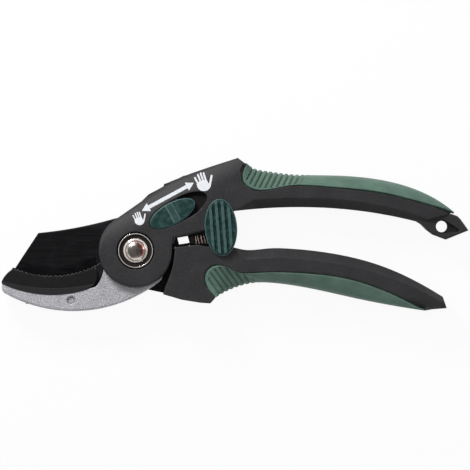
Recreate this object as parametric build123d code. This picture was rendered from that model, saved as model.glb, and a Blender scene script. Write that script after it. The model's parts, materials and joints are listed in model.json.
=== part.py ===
from build123d import *
import os
from math import cos, radians, sin, tan

# Anvil pruning shears, closed and lying on their back. Sizes are in millimetres.
# While the pieces are made, the pivot's axis is the Z axis: +X runs along the handles, +Y points to the
# upper handle and +Z out of the front face. The last lines move everything to the part's own origin.

# Stack of the head along the pivot, from the back
back_relief = 0.4
cover_t = 3.2
rear_cheek_t = 2.8
blade_t = 3.0
shim_t = 0.2
front_cheek_t = 4.8
front_plate_t = 3.6
z_jaw = back_relief + cover_t
z_slot = z_jaw + rear_cheek_t
z_blade = z_slot + shim_t
z_blade_top = z_blade + blade_t
z_slot_top = z_blade_top + shim_t
z_plate = z_slot_top + front_cheek_t
z_front = z_plate + front_plate_t

# Fits
fit = 0.05
running = 0.04
slide_gap = 0.3
small_edge = 0.3
# A cutter passes the face that it opens by this much, and far is past every edge of the head
cut_over = 1.0
far = 60.0

# Pivot
bolt_r = 4.0
bush_r = 6.0
dome_r = 5.3
dome_rise = 2.0
dome_rim = 0.7
dome_edge_t = 0.9
dome_edge_round = 0.2
cup_r = 7.57
cup_rim = 0.4
cup_t = 1.0
cup_wall = 0.8
cup_slope = 0.3
cup_dish = 0.1
counterbore_r = 8.3
counterbore_depth = 2.2
nut_across_flats = 13.0
nut_t = 2.2
rear_washer_r = 7.4
rear_washer_t = 0.8
nut_well_r = 8.2
shim_r = 8.0
hinge_open = 30.0

# Main spring
spring_wire = 1.1
spring_r = 10.3
spring_pitch = 1.2
spring_turns = 2
spring_room = 0.5
spring_leg = 3.3
spring_leg_depth = 1.2
spring_lift = 0.1
spring_cover = 0.2

# Head of the upper handle
disc_r = 16.2
hub_r = 15.4
head_clear = 3.1
head_clear_r = hub_r + head_clear
head_edge = 1.2
tangent_angle = 122.0
neck_angle = 8.0
neck_low = [(16.7, 5.2), (24.0, 6.9), (30.0, 8.4), (36.5, 12.6), (43.2, 17.3)]
neck_right = [(50.0, 18.4), (50.0, 36.6), (47.6, 38.3), (44.7, 40.5)]
neck_top = [(33.5, 36.9), (24.7, 33.9), (15.8, 30.4), (12.3, 29.2), (11.9, 27.7), (3.3, 22.0)]
spine_notch = (13.4, 29.4)
spine_notch_size = (3.6, 1.7)
spine_angle = 24.0
cover_split = (29.5, 23.4)

# Jaw and anvil
anvil_x = -36.6
pad_top_y = -11.0
pad_top_r = 43.0
pad_height = 8.4
anvil_centre = (anvil_x, pad_top_y + pad_top_r)
seat_r = pad_top_r + pad_height
jaw_depth = 8.125
jaw_deep_angle = 280.65
# Heel and toe of the jaw stand out from its hub by these
jaw_heel_out = 3.607
jaw_heel_angle = 218.377
jaw_toe_out = 1.76
jaw_toe_angle = -49.255
# The jaw's tip and the left end of its outer edge lie this far from the left end of the pad's seat
jaw_tip_from_seat = (-0.2, -1.05)
jaw_edge_from_seat = (1.3, -4.25)
jaw_edge_round = 1.1
hub_heel_angle = 205.4
hub_low_angle = -35.0
seat_inset_left = 0.3
seat_inset_right = 2.4
slot_spare = 4.0
tail_t = 5.4
tail_end_r = 5.0
tail_root = 1.8
tail_root_r = hub_r + tail_root
tail_inset = 2.0
pad_nose_x = -58.7
pad_nose_rise = 0.85
pad_brow = (-57.1, -11.0)
pad_shoulder = (-54.3, -8.4)
pad_lip = 0.2
pad_face_step = 0.7
pad_band = 2.8
pad_band_left = (0.6, 0.3)
pad_band_right = (-0.6, -2.6)
pad_corner = 0.6
pad_end_centre = (-23.0, -10.9)
pad_end_r = 6.2
pad_horn_step = 3.0
pad_horn_from = 2.0
channel_t = 5.4
channel_depth = 1.35
tooth_r = 0.5
tooth_pitch = 1.85
tooth_first = 248.6
tooth_last = 295.0
tongue_t = 3.2
tongue_root = 0.5
tongue_depth = 5.0
tongue_from = 258.0
tongue_to = 288.0
pad_pin_depth = 3.05
pad_pin_angle = 278.87
pad_pin_r = 1.4
pad_pin_well_r = 2.0
pad_pin_well = 1.0

# Blade
edge_gap = 0.15
edge_bevel = 5.0
edge_land = 0.5
grind_clear = 2.0
blade_tip_inset = 0.7
blade_corner = (-42.7, 7.7)
blade_back_mid = (-25.7, 10.1)
blade_back_end = (-9.0, 14.1)
lug_r = 15.6
lug_top_angle = 100.0
lug_heel_angle = 203.0
lug_low_angle = 257.0
lug_tang_angle = 4.0
spine_edge = 0.4
tang = [(27.5, -1.6), (28.4, -11.0), (25.5, -17.6), (12.8, -18.7)]

# Handles
bar_taper_from = 82.0
bar_end_x = 146.0
bar_end_t = 12.6
bar_bend_share = 0.25
bar_end_slope = 0.06
bar_round = 5.0
bar_facet = 4.0
bar_facet_lead = 9.0
upper_inner = [(43.2, 17.3), (57.9, 18.6), (81.3, 18.8), (108.0, 15.9), (124.0, 12.4)]
upper_outer = [(46.6, 38.9), (51.3, 36.2), (64.6, 33.8), (87.9, 32.8), (111.3, 30.1),
               (131.3, 22.5), (139.2, 16.8)]
upper_seam = [(46.2, 33.0), (46.4, 30.2), (49.5, 27.0), (55.9, 26.0), (65.3, 27.8), (81.3, 27.6),
              (108.0, 24.6), (131.3, 18.6), (139.8, 16.3)]
upper_seam_corner = (48.4, 38.6)
grip_ledge = [(48.0, 40.0), (45.5, 34.6), (46.8, 33.0), (49.5, 38.0)]
grip_ledge_depth = 0.6
upper_core_in = [(51.0, 24.0), (80.0, 25.0), (108.0, 22.5), (127.0, 18.0)]
upper_core_out = [(51.0, 30.0), (64.0, 30.6), (88.0, 30.0), (111.0, 27.2), (127.0, 21.6)][::-1]
loop_outline = [(122.0, 13.2), (124.7, 11.5), (127.2, 9.0), (130.0, 6.9), (135.7, 4.8), (145.6, 8.8),
                (142.0, 13.8), (140.7, 15.1), (134.0, 17.4)]
loop_t = 12.0
loop_edge = 0.9
lanyard_at = (133.9, 10.5)
lanyard_r = 2.5
lanyard_recess = 2.0
lanyard_recess_front = 4.0
lanyard_lead = 0.6
lanyard_recess_tip = (140.6, 8.9)
lanyard_recess_tip_r = 0.8
lower_left = [(12.0, -19.1), (14.0, -13.6), (15.8, -8.7), (16.9, -2.9), (17.2, 1.4)]
lower_shoulder = (27.3, 2.5)
lower_crotch = (36.0, 1.6)
lower_inner = [(42.5, 1.4), (47.0, 0.4), (57.9, 0.9), (67.9, 0.8), (87.9, -1.6), (108.0, -6.9),
               (128.0, -16.4), (134.3, -20.2)]
lower_end = [(136.0, -25.2), (129.7, -25.7), (126.6, -26.3)]
lower_outer = [(108.0, -23.3), (94.7, -20.6), (81.3, -17.6), (61.2, -14.3), (52.6, -14.1), (42.5, -16.7),
               (34.9, -20.6)]
lower_heel = [(32.7, -23.1), (28.2, -22.8), (20.2, -21.5)]
lower_seam = [(34.7, -20.4), (32.6, -18.5), (30.4, -14.9), (29.8, -11.3), (31.3, -8.0), (35.3, -6.1),
              (39.6, -7.1), (44.6, -9.5), (51.3, -9.6), (71.3, -9.4), (91.3, -11.6), (111.3, -18.2),
              (127.0, -26.4)]
lower_core_in = [(31.6, -10.5), (33.6, -4.0), (60.0, -7.0), (90.0, -9.5), (117.0, -19.5)]
lower_core_out = [(115.0, -21.8), (98.0, -18.0), (80.0, -14.0), (60.0, -11.7), (46.0, -12.6), (37.0, -15.5)]
core_t = 8.2

# Ribs of the grips
rib_gap = 0.9
rib_depth = 0.8
upper_rib_angle = 63.0
upper_rib_pitch = 2.17
upper_rib_from = 51.4
upper_rib_count = 10
lower_rib_angle = -54.0
lower_rib_pitch = 2.25
lower_rib_from = 37.0
lower_rib_count = 9

# Screws
screw_r = 1.5
screw_head_r = 2.7
screw_head_t = 1.8
screw_slot = 0.7
screw_sink = 0.2
screw_tip_z = 13.0
cover_screw_at = [(8.5, 20.5), (22.5, 28.0), (26.5, 13.0)]
blade_screw_at = [(20.5, -8.0), (22.5, -14.5)]

# Hand size adjuster
adjuster_at = (16.15, 16.2)
adjuster_angle = 28.5
adjuster_half = (11.0, 4.8)
adjuster_travel = 5.6
adjuster_recess = 2.2
adjuster_lift = 0.1
adjuster_t = 2.4
adjuster_crown = 0.7
adjuster_ridges = [-1.1, 1.7]
adjuster_ridge = (0.9, 0.5)
adjuster_ridge_inset = 0.8
adjuster_pin_r = 1.6
adjuster_clip = (7.0, 6.4, 1.2)
adjuster_room = (16.0, 8.6)
adjuster_room_round = 2.0
adjuster_clip_round = 1.0

# Catch
catch_at = (37.3, 10.1)
catch_angle = 4.3
catch_half = (7.1, 12.5)
catch_travel = 3.0
catch_t = 1.6
catch_edge = 0.7
catch_rib_pitch = 2.65
catch_rib_count = 4
catch_rib = (1.3, 0.9)
catch_rib_inset = 0.9
catch_plate_t = 2.8
catch_z = 8.8
catch_post_at = (38.2, 7.8)
catch_post = (5.4, 5.4)
catch_post_round = 0.8
catch_post_root = 0.5
catch_plate_left = 34.4
catch_plate_right = 41.5
catch_plate_low = 2.9
catch_plate_high = 18.2
catch_plate_slant = 4.0
hook_arm = 2.3
hook_lip = 3.3
hook_low = -6.9
hook_lip_t = 2.4
catch_groove_top = 19.2
catch_room = 1.2
keeper_r = 1.4
keeper_gap = 0.5
keeper_inset = 0.5
tray_left = 23.7
tray_low = 1.6
tray_gap = 0.45
tray_root = 2.0
guide_t = 2.2
guide_low = 2.9
guide_half = 3.2
stem_at = (30.0, 4.9)
stem_r = 1.15
stem_bore = 12.8
stem_spigot_r = 0.8
stem_spigot = 1.6
stem_head_x = 23.4
stem_head = (2.4, 3.6)
coil_wire = 0.55
coil_r = 1.6
coil_turns = 4
coil_gap = 0.1


def polar(radius, degrees):
    """Point at a radius and an angle round the pivot."""
    return (radius * cos(radians(degrees)), radius * sin(radians(degrees)))


def on_anvil(radius, degrees):
    """Point at a radius and an angle round the anvil's centre of curvature."""
    x, y = polar(radius, degrees)
    return (anvil_centre[0] + x, anvil_centre[1] + y)


def on_anvil_at(radius, x):
    """Point of an anvil circle at a given x, on its lower half."""
    run = x - anvil_centre[0]
    return (x, anvil_centre[1] - (radius * radius - run * run) ** 0.5)


def arc(centre_point, radius, start, end):
    """Arc round a centre between two angles, in either direction."""
    points = [
        (centre_point[0] + radius * cos(radians(a)), centre_point[1] + radius * sin(radians(a)))
        for a in (start, (start + end) / 2, end)
    ]
    return ThreePointArc(*points)


def face_of(*curves):
    """Flat face inside curves that follow each other."""
    return Face(Wire([edge for curve in curves for edge in curve.edges()]))


def slab(face, z0, z1):
    """Flat face raised between two heights."""
    return Pos(0, 0, z0) * extrude(face, z1 - z0, dir=(0, 0, 1))


def rod(at, radius, z0, z1):
    """Upright round bar between two heights."""
    low = (Align.CENTER, Align.CENTER, Align.MIN)
    return Pos(at[0], at[1], z0) * Cylinder(radius, z1 - z0, align=low)


def ring(at, inner, outer, z0, z1):
    """Upright round tube between two heights."""
    return rod(at, outer, z0, z1) - rod(at, inner, z0, z1)


def block(x0, x1, y0, y1, z0, z1):
    """Box between given planes."""
    return Pos((x0 + x1) / 2, (y0 + y1) / 2, (z0 + z1) / 2) * Box(x1 - x0, y1 - y0, z1 - z0)


def edges_along(solid, curve):
    """Edges of a solid that run over a curve of its plan."""
    found = []
    for edge in solid.edges():
        spots = [edge.position_at(t) for t in (0.1, 0.5, 0.9)]
        flat = [Vector(p.X, p.Y, 0) for p in spots]
        upright = abs(edge.tangent_at(0.5).Z) > 0.9
        if not upright and all(curve.distance_to(p) < 0.01 for p in flat):
            found.append(edge)
    return found


def adjuster_place():
    """Place of the adjuster's centre, with X along its slide."""
    return Pos(*adjuster_at) * Rot(0, 0, adjuster_angle)


def stem_place(x):
    """Place on the catch stem's axis, with Z along the stem."""
    run = x - stem_at[0]
    y = stem_at[1] + run * tan(radians(catch_angle))
    return Pos(x, y, catch_z) * Rot(0, 0, catch_angle) * Rot(0, 90, 0)


# Outlines that several pieces share
def head_face():
    """Plan of the upper handle's head: the round disc and the neck behind it."""
    start = polar(disc_r, tangent_angle)
    rim = arc((0, 0), disc_r, tangent_angle, 360.0 + neck_angle)
    rest = [rim @ 1] + neck_low + neck_right + neck_top + [start]
    return face_of(rim, Polyline(*rest))


def cover_side():
    """Half plane in front of the line where the rear cover ends."""
    return Pos(*cover_split) * Rot(0, 0, adjuster_angle) * Pos(-far, 0) * Rectangle(2 * far, 2 * far)


def jaw_heel():
    """Deepest point of the curve between the jaw's seat and its hub."""
    return polar(hub_r + jaw_heel_out, jaw_heel_angle)


def jaw_toe():
    """Point below the hub where the jaw's outer edge starts."""
    return polar(hub_r + jaw_toe_out, jaw_toe_angle)


def seat_ends():
    """Left and right end of the arc where the pad lies on the jaw."""
    left = on_anvil_at(seat_r, pad_nose_x + seat_inset_left)
    right = on_anvil_at(seat_r, jaw_heel()[0] - seat_inset_right)
    return left, right


def beside_seat(offset):
    """Point at an offset from the left end of the pad's seat."""
    left = seat_ends()[0]
    return (left[0] + offset[0], left[1] + offset[1])


def jaw_outer():
    """Outer edge of the jaw, from the hub to its tip."""
    deep = on_anvil(seat_r + jaw_depth, jaw_deep_angle)
    return ThreePointArc(jaw_toe(), deep, beside_seat(jaw_edge_from_seat))


def pad_pin_at():
    """Centre of the pad's cross pin."""
    return on_anvil(seat_r + pad_pin_depth, pad_pin_angle)


def jaw_face():
    """Plan of the jaw: hook, heel and hub."""
    seat_left, seat_right = seat_ends()
    jaw_tip = beside_seat(jaw_tip_from_seat)
    jaw_edge_left = beside_seat(jaw_edge_from_seat)
    hub_heel = polar(hub_r, hub_heel_angle)
    hub_low = polar(hub_r, hub_low_angle)
    return face_of(
        ThreePointArc(seat_left, on_anvil(seat_r, 270.0), seat_right),
        ThreePointArc(seat_right, jaw_heel(), hub_heel),
        arc((0, 0), hub_r, hub_heel_angle, hub_low_angle),
        Line(hub_low, jaw_toe()),
        jaw_outer(),
        Spline(jaw_edge_left, jaw_tip, tangents=[(-1.0, 0.6), (0.1, 1.0)]),
        Line(jaw_tip, seat_left),
    )


def tail_face():
    """Plan of the jaw's tail, from the hub to the two screws that hold it."""
    ends = [Pos(*p) * Circle(tail_end_r) for p in cover_screw_at[:2]]
    root = Circle(hub_r - tail_inset)
    return make_hull((ends[0] + ends[1] + root).edges())


def blade_face():
    """Plan of the blade, its round lug and its tang."""
    edge_r = pad_top_r + channel_depth - edge_gap
    edge_right = on_anvil_at(edge_r, -lug_r)
    edge_left = on_anvil_at(edge_r, pad_shoulder[0] + blade_tip_inset)
    lug_top = polar(lug_r, lug_top_angle)
    lug_heel = polar(lug_r, lug_heel_angle)
    lug_low = polar(lug_r, lug_low_angle)
    lug_tang = polar(lug_r, lug_tang_angle)
    return face_of(
        ThreePointArc(blade_corner, blade_back_mid, blade_back_end),
        Line(blade_back_end, lug_top),
        arc((0, 0), lug_r, lug_top_angle, lug_tang_angle),
        Polyline(lug_tang, *tang, lug_low),
        arc((0, 0), lug_r, lug_low_angle, lug_heel_angle),
        Line(lug_heel, edge_right),
        ThreePointArc(edge_right, on_anvil(edge_r, 270.0), edge_left),
        Line(edge_left, blade_corner),
    )


def side_profile():
    """Thickness of both handles, seen from below: even at first, then thinner towards the ends."""
    start = -far
    low = (z_front - bar_end_t) / 2
    high = z_front - low
    bend = (bar_taper_from + bar_end_x) / 2
    low_bend = low * bar_bend_share
    edges = [
        Line((start, 0), (bar_taper_from, 0)),
        Spline((bar_taper_from, 0), (bend, low_bend), (bar_end_x, low),
               tangents=[(1, 0), (1, bar_end_slope)]),
        Line((bar_end_x, low), (bar_end_x, high)),
        Spline((bar_end_x, high), (bend, z_front - low_bend), (bar_taper_from, z_front),
               tangents=[(-1, bar_end_slope), (-1, 0)]),
        Line((bar_taper_from, z_front), (start, z_front)),
        Line((start, z_front), (start, 0)),
    ]
    return extrude(Plane.XZ * face_of(*edges), far, both=True)


def facet_cuts(curve, side):
    """Cutters for the slanting facets along an inner edge, at the front and at the back.

    A facet starts at nothing and grows to its full width over the lead.
    The handle lies on the left of the curve where side is 1, and on its right where side is -1."""
    over = cut_over
    path = Wire([curve, Line(curve @ 1, curve @ 1 + (curve % 1) * 2 * bar_facet)])
    heading = curve % 0
    across = Vector(-heading.Y, heading.X, 0)
    cuts = []
    for level, up in ((z_front, 1), (0, -1)):
        corners = [(-over * side, -up * (bar_facet + over)), ((bar_facet + over) * side, up * over),
                   (-over * side, up * over)]
        frame = Plane(origin=curve @ 0, x_dir=across, z_dir=heading)
        wedge = sweep(frame * face_of(Polyline(*corners, close=True)), path)
        lean = across * side - Vector(0, 0, up) - heading * (bar_facet / bar_facet_lead)
        deeper = Box(2 * far, 2 * far, far, align=(Align.CENTER, Align.CENTER, Align.MIN))
        wedge -= Plane(origin=curve @ 0, z_dir=lean) * deeper
        cuts.append(Pos(0, 0, level) * wedge)
    return cuts


def ribs(outer, count, first, pitch, degrees):
    """Cutters for the grooves between the ribs of a grip, wrapped round its outer side."""
    cutters = []
    inset = Box(far, 3 * rib_gap, z_front - 2 * rib_depth)
    inset = fillet(inset.faces().sort_by(Axis.X)[-1].edges().filter_by(Axis.Y), bar_round - rib_depth)
    inset = Pos(-far / 2 - rib_depth, 0, z_front / 2) * inset
    bar = Pos(0, 0, z_front / 2) * Box(far, rib_gap, 2 * z_front)
    start = outer.find_intersection_points(Axis((first, 0, 0), (0, 1, 0)))[0]
    along = Vector(*polar(1.0, degrees))
    across = Vector(*polar(1.0, degrees - 90.0 if degrees > 0 else degrees + 90.0))
    for i in range(count):
        line = Axis(start + across * (i * pitch), along)
        spot = outer.find_intersection_points(line)[0]
        cutters.append(Pos(spot.X, spot.Y, 0) * Rot(0, 0, degrees) * (bar - inset))
    return cutters


def upper_bar():
    """Upper handle and its grip in one piece, before the seam divides them."""
    inner = Spline(*upper_inner)
    outer = Spline(*upper_outer)
    face = face_of(inner, Line(upper_inner[-1], upper_outer[-1]), Spline(*reversed(upper_outer)),
                   Line(upper_outer[0], upper_inner[0]))
    bar = slab(face, 0, z_front) & side_profile()
    return fillet(edges_along(bar, outer), bar_round)


def upper_grip_face():
    """Plan of the upper grip's side of the seam."""
    top = upper_outer[0][1] + far
    right = upper_seam[-1][0] + far
    return face_of(
        Spline(*upper_seam),
        Polyline(upper_seam[-1], (right, upper_seam[-1][1]), (right, top), (upper_seam_corner[0], top),
                 upper_seam_corner, upper_seam[0]),
    )


def lower_face():
    """Plan of the lower handle with its grip."""
    return face_of(
        Spline(*lower_left),
        Line(lower_left[-1], lower_shoulder),
        Spline(lower_shoulder, lower_crotch, *lower_inner),
        Polyline(lower_inner[-1], *lower_end),
        Spline(lower_end[-1], *lower_outer),
        Polyline(lower_outer[-1], *lower_heel, lower_left[0]),
    )


def lower_bar():
    """Lower handle and its grip in one piece, before the seam divides them."""
    bar = slab(lower_face(), 0, z_front) & side_profile()
    return fillet(edges_along(bar, Spline(lower_end[-1], *lower_outer)), bar_round)


def lower_grip_face():
    """Plan of the lower grip's side of the seam."""
    low = lower_end[-1][1] - far
    return face_of(
        Spline(*lower_seam),
        Polyline(lower_seam[-1], (lower_seam[-1][0], low), (lower_seam[0][0], low), lower_seam[0]),
    )


def core(inside, outside):
    """Stiff core of a handle inside its grip."""
    ends = [Line(inside[-1], outside[0]), Line(outside[-1], inside[0])]
    face = face_of(Spline(*inside), ends[0], Spline(*outside), ends[1])
    return slab(face, (z_front - core_t) / 2, (z_front + core_t) / 2)


def screw(at, tip, z_head):
    """Pan head screw that enters from the back, with a cross recess."""
    head = rod(at, screw_head_r, z_head, z_head + screw_head_t)
    head = fillet(head.edges().sort_by(Axis.Z)[0], screw_head_t * 0.4)
    body = head + rod(at, screw_r, z_head + screw_head_t, tip)
    cross = Box(screw_head_r, screw_slot, screw_head_t) + Box(screw_slot, screw_head_r, screw_head_t)
    return body - Pos(at[0], at[1], z_head) * cross


def screw_hole(at, tip, z_head):
    """Room for a screw: a well for its head and a hole for its shank."""
    well = rod(at, screw_head_r + slide_gap, z_head - 2 * screw_head_t, z_head + screw_head_t)
    return well + rod(at, screw_r + fit, z_head, tip + slide_gap)


def upper_core_solid():
    """Core of the upper handle under its grip."""
    return core(upper_core_in, upper_core_out)


# Pieces of the upper arm
def make_upper_handle():
    """Moulded handle: front plate with its disc, neck, handle bar and lanyard loop."""
    plan = head_face()
    head = slab(plan, z_jaw, z_front)
    head = fillet(head.faces().sort_by(Axis.Z)[-1].edges(), head_edge)
    back = slab(plan - cover_side(), 0, z_jaw)
    handle = head + back + upper_bar() - slab(upper_grip_face(), -cut_over, z_front + cut_over)
    handle += upper_core_solid()
    ledge = face_of(Polyline(*grip_ledge, close=True))
    handle -= slab(ledge, z_front - grip_ledge_depth, z_front + cut_over)
    for cut in facet_cuts(Spline(*upper_inner), 1):
        handle -= cut
    handle += make_loop()
    handle -= rod((0, 0), head_clear_r, z_jaw - cut_over, z_plate)
    handle -= slab(tail_face(), z_jaw - cut_over, z_jaw + tail_t + fit)
    handle -= rod((0, 0), bolt_r + fit, z_plate - cut_over, z_front + cut_over)
    handle -= rod((0, 0), counterbore_r, z_front - counterbore_depth, z_front + cut_over)
    notch = Box(spine_notch_size[0], spine_notch_size[1], 2 * z_front)
    handle -= Pos(spine_notch[0], spine_notch[1]) * Rot(0, 0, spine_angle) * notch
    for at in cover_screw_at:
        handle -= rod(at, screw_r + fit, 0, screw_tip_z + slide_gap)
    handle -= adjuster_cut()
    return handle + make_guide() - catch_cut()


def make_loop():
    """End of the upper handle with the lanyard hole and its tapering recess."""
    low = (z_front - loop_t) / 2
    high = z_front - low
    loop = slab(face_of(Polyline(*loop_outline, close=True)), low, high)
    faces = loop.faces().sort_by(Axis.Z)
    loop = fillet(faces[-1].edges() + faces[0].edges(), loop_edge)
    mouth = Pos(*lanyard_at) * Circle(lanyard_r + lanyard_lead)
    point = Pos(*lanyard_recess_tip) * Circle(lanyard_recess_tip_r)
    recess = make_hull((mouth + point).edges())
    loop -= slab(recess, high - lanyard_recess_front, high + cut_over)
    loop -= slab(recess, low - cut_over, low + lanyard_recess)
    return loop - rod(lanyard_at, lanyard_r, 0, z_front)


def adjuster_shape(grow=0.0):
    """Plan of the adjuster's button round its own centre."""
    return Ellipse(adjuster_half[0] + grow, adjuster_half[1] + grow)


def adjuster_cut():
    """Recess, slot and inner room for the adjuster."""
    shape = adjuster_shape(slide_gap)
    swept = shape + Pos(adjuster_travel, 0) * shape
    swept += Pos(adjuster_travel / 2, 0) * Rectangle(adjuster_travel, 2 * (adjuster_half[1] + slide_gap))
    floor = z_front - adjuster_recess
    cut = adjuster_place() * slab(swept, floor, z_front + cut_over)
    slot = Pos(adjuster_travel / 2, 0) * SlotCenterToCenter(adjuster_travel, 2 * (adjuster_pin_r + slide_gap))
    cut += adjuster_place() * slab(slot, z_slot, z_front)
    room = Pos(adjuster_travel / 2, 0) * RectangleRounded(*adjuster_room, adjuster_room_round)
    return cut + adjuster_place() * slab(room, z_jaw + tail_t, z_plate)


def make_guide():
    """Lug under the neck that guides the catch's stem, with a tray behind the stem's coil."""
    right = catch_plate_left - slide_gap
    top = neck_low[3][1] + cut_over
    lug = block(right - guide_t, right, guide_low, top, catch_z - guide_half, catch_z + guide_half)
    return lug + block(tray_left, right, tray_low, neck_low[2][1] + tray_root, z_jaw, tray_top())


def tray_top():
    """Height of the tray behind the coil."""
    return catch_z - coil_r - coil_wire / 2 - tray_gap


def catch_cut():
    """Groove for the catch plate and bore for its stem."""
    gap = catch_plate_t / 2 + slide_gap
    right = catch_plate_right + catch_travel + 2 * slide_gap
    left = catch_plate_left - slide_gap
    groove = block(left, right, catch_plate_low, catch_groove_top, catch_z - gap, catch_z + gap)
    return groove + stem_place(stem_at[0]) * Cylinder(stem_r + 2 * running, stem_bore)


def make_rear_cover():
    """Cover over the back of the head."""
    cover = slab(head_face() & cover_side(), back_relief, z_jaw)
    cover = fillet(cover.faces().sort_by(Axis.Z)[0].edges(), head_edge)
    cover -= rod((0, 0), nut_well_r, 0, z_jaw + cut_over)
    for at in cover_screw_at:
        cover -= screw_hole(at, z_jaw + cut_over, back_relief + screw_sink)
    return cover


def make_cover_screws():
    """Screws that hold the rear cover and the jaw's tail."""
    return [screw(at, screw_tip_z, back_relief + screw_sink) for at in cover_screw_at]


def make_upper_grip():
    """Soft grip on the upper handle, ribbed where the palm lies."""
    grip = upper_bar() & slab(upper_grip_face(), -cut_over, z_front + cut_over)
    grip -= upper_core_solid()
    cutters = ribs(Spline(*upper_outer), upper_rib_count, upper_rib_from, upper_rib_pitch, upper_rib_angle)
    for cutter in cutters:
        grip -= cutter
    return grip


def make_anvil_jaw():
    """Cast jaw: hook with the pad's seat, fork round the blade and tail into the head."""
    jaw = slab(jaw_face(), z_jaw, z_plate)
    jaw = fillet(edges_along(jaw, jaw_outer()), jaw_edge_round)
    low = tang[-1]
    tang_room = Polyline(polar(lug_r, lug_low_angle), low, (far, low[1]), (far, far), (0, far), close=True)
    slot = slab(Circle(max(hub_r, lug_r) + 2 * slide_gap), z_slot, z_slot_top)
    slot += Rot(0, 0, -hinge_open - slot_spare) * slab(face_of(tang_room), z_slot, z_slot_top)
    jaw -= slot
    tail = slab(tail_face(), z_jaw, z_slot)
    tail += slab(tail_face() - Circle(tail_root_r), z_slot, z_jaw + tail_t)
    jaw += tail
    for at in cover_screw_at[:2]:
        jaw -= rod(at, screw_r + fit, 0, z_plate)
    jaw -= rod((0, 0), bolt_r + fit, 0, z_front)
    jaw -= spring_pocket()
    jaw -= tongue(fit)
    jaw -= rod(pad_pin_at(), pad_pin_r + fit, 0, z_front)
    jaw -= rod(pad_pin_at(), pad_pin_well_r, 0, z_jaw + pad_pin_well)
    return jaw - rod(pad_pin_at(), pad_pin_well_r, z_plate - pad_pin_well, z_front)


def spring_pocket():
    """Round pocket for the main spring, with a notch for its fixed leg."""
    half = spring_wire / 2 + spring_room
    inner = spring_r - spring_wire - spring_room
    outer = spring_r + spring_wire + spring_room
    top = z_slot_top + spring_turns * spring_pitch + spring_wire + spring_cover
    pocket = ring((0, 0), inner, outer, z_slot_top - spring_lift, top)
    notch = block(spring_r, spring_r + spring_leg + slide_gap, -half, half, top - 2 * half, top)
    return pocket + notch


def tongue(grow=0.0):
    """Rib under the pad that lies in the jaw."""
    mid = (z_jaw + z_plate) / 2
    half = tongue_t / 2 + grow
    inner = seat_r - tongue_root
    outer = seat_r + tongue_depth + grow
    face = face_of(
        arc(anvil_centre, inner, tongue_from - grow, tongue_to + grow),
        Line(on_anvil(inner, tongue_to + grow), on_anvil(outer, tongue_to + grow)),
        arc(anvil_centre, outer, tongue_to + grow, tongue_from - grow),
        Line(on_anvil(outer, tongue_from - grow), on_anvil(inner, tongue_from - grow)),
    )
    return slab(face, mid - half, mid + half)


def make_anvil_pad():
    """Toothed pad on the jaw, with a channel that takes the blade's edge."""
    seat_left, seat_right = seat_ends()
    pad_nose = (pad_nose_x, seat_left[1] + pad_nose_rise)
    hub_heel = polar(hub_r, hub_heel_angle)
    top_right = on_anvil_at(pad_top_r, hub_heel[0])
    top_left = on_anvil_at(pad_top_r, pad_shoulder[0] + pad_corner)
    body = face_of(
        ThreePointArc(top_right, on_anvil(pad_top_r, 270.0), top_left),
        Line(top_left, pad_shoulder),
        ThreePointArc(pad_shoulder, pad_brow, pad_nose),
        Line(pad_nose, seat_left),
        ThreePointArc(seat_left, on_anvil(seat_r, 270.0), seat_right),
        ThreePointArc(seat_right, jaw_heel(), hub_heel),
        Line(hub_heel, top_right),
    )
    low = z_jaw - pad_lip
    high = z_plate + pad_lip
    pad = slab(body, low, high)
    band_left = (pad_nose[0] + pad_band_left[0], pad_nose[1] + pad_band_left[1])
    band_right = (pad_end_centre[0] + pad_end_r + pad_band_right[0], jaw_heel()[1] + pad_band_right[1])
    band_mid = on_anvil(seat_r - pad_band, 270.0)
    above = face_of(
        ThreePointArc(band_left, band_mid, band_right),
        Polyline(band_right, (0, band_right[1]), (0, 0), (-2 * far, 0), (-2 * far, band_left[1]), band_left),
    )
    pad -= slab(above, high - pad_face_step, high + cut_over)
    pad -= slab(above, low - cut_over, low + pad_face_step)
    beside = Rectangle(far, 2 * far, align=(Align.MIN, Align.CENTER))
    horn = Pos(pad_end_centre[0] + pad_horn_from, 0) * beside
    horn -= Pos(*pad_end_centre) * Circle(pad_end_r)
    pad -= slab(horn, high - pad_horn_step, high + cut_over)
    pad -= slab(horn, low - cut_over, low + pad_horn_step)
    mid = (z_blade + z_blade_top) / 2
    channel = Pos(*anvil_centre) * Circle(pad_top_r + channel_depth)
    pad -= slab(channel, mid - channel_t / 2, mid + channel_t / 2)
    pad -= rod((0, 0), lug_r + 2 * slide_gap, 0, z_front)
    pad += tongue()
    pad -= rod(pad_pin_at(), pad_pin_r + fit, 0, z_front)
    step = tooth_pitch / radians(1) / pad_top_r
    count = int((tooth_last - tooth_first) / step) + 1
    teeth = [rod(on_anvil(pad_top_r, tooth_first + i * step), tooth_r, 0, z_front) for i in range(count)]
    return pad - teeth


def make_pad_pin():
    """Cross pin that holds the pad in the jaw."""
    pin = rod(pad_pin_at(), pad_pin_r, z_jaw + pad_pin_well, z_plate - pad_pin_well)
    return chamfer(pin.edges(), small_edge)


def make_pivot_bolt():
    """Domed pivot bolt."""
    seat = z_front - counterbore_depth + cup_t
    rim = seat + dome_edge_t
    cap_r = dome_r - dome_rim
    tip = back_relief + screw_sink
    profile = face_of(
        Polyline((0, tip), (bolt_r, tip), (bolt_r, seat), (dome_r, seat), (dome_r, rim - dome_edge_round),
                 (dome_r - dome_edge_round, rim), (cap_r, rim)),
        Spline((cap_r, rim), (0, rim + dome_rise), tangents=[(-0.4, 1.0), (-1.0, 0.0)]),
        Line((0, rim + dome_rise), (0, tip)),
    )
    return revolve(Plane.XZ * profile, Axis.Z)


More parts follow.
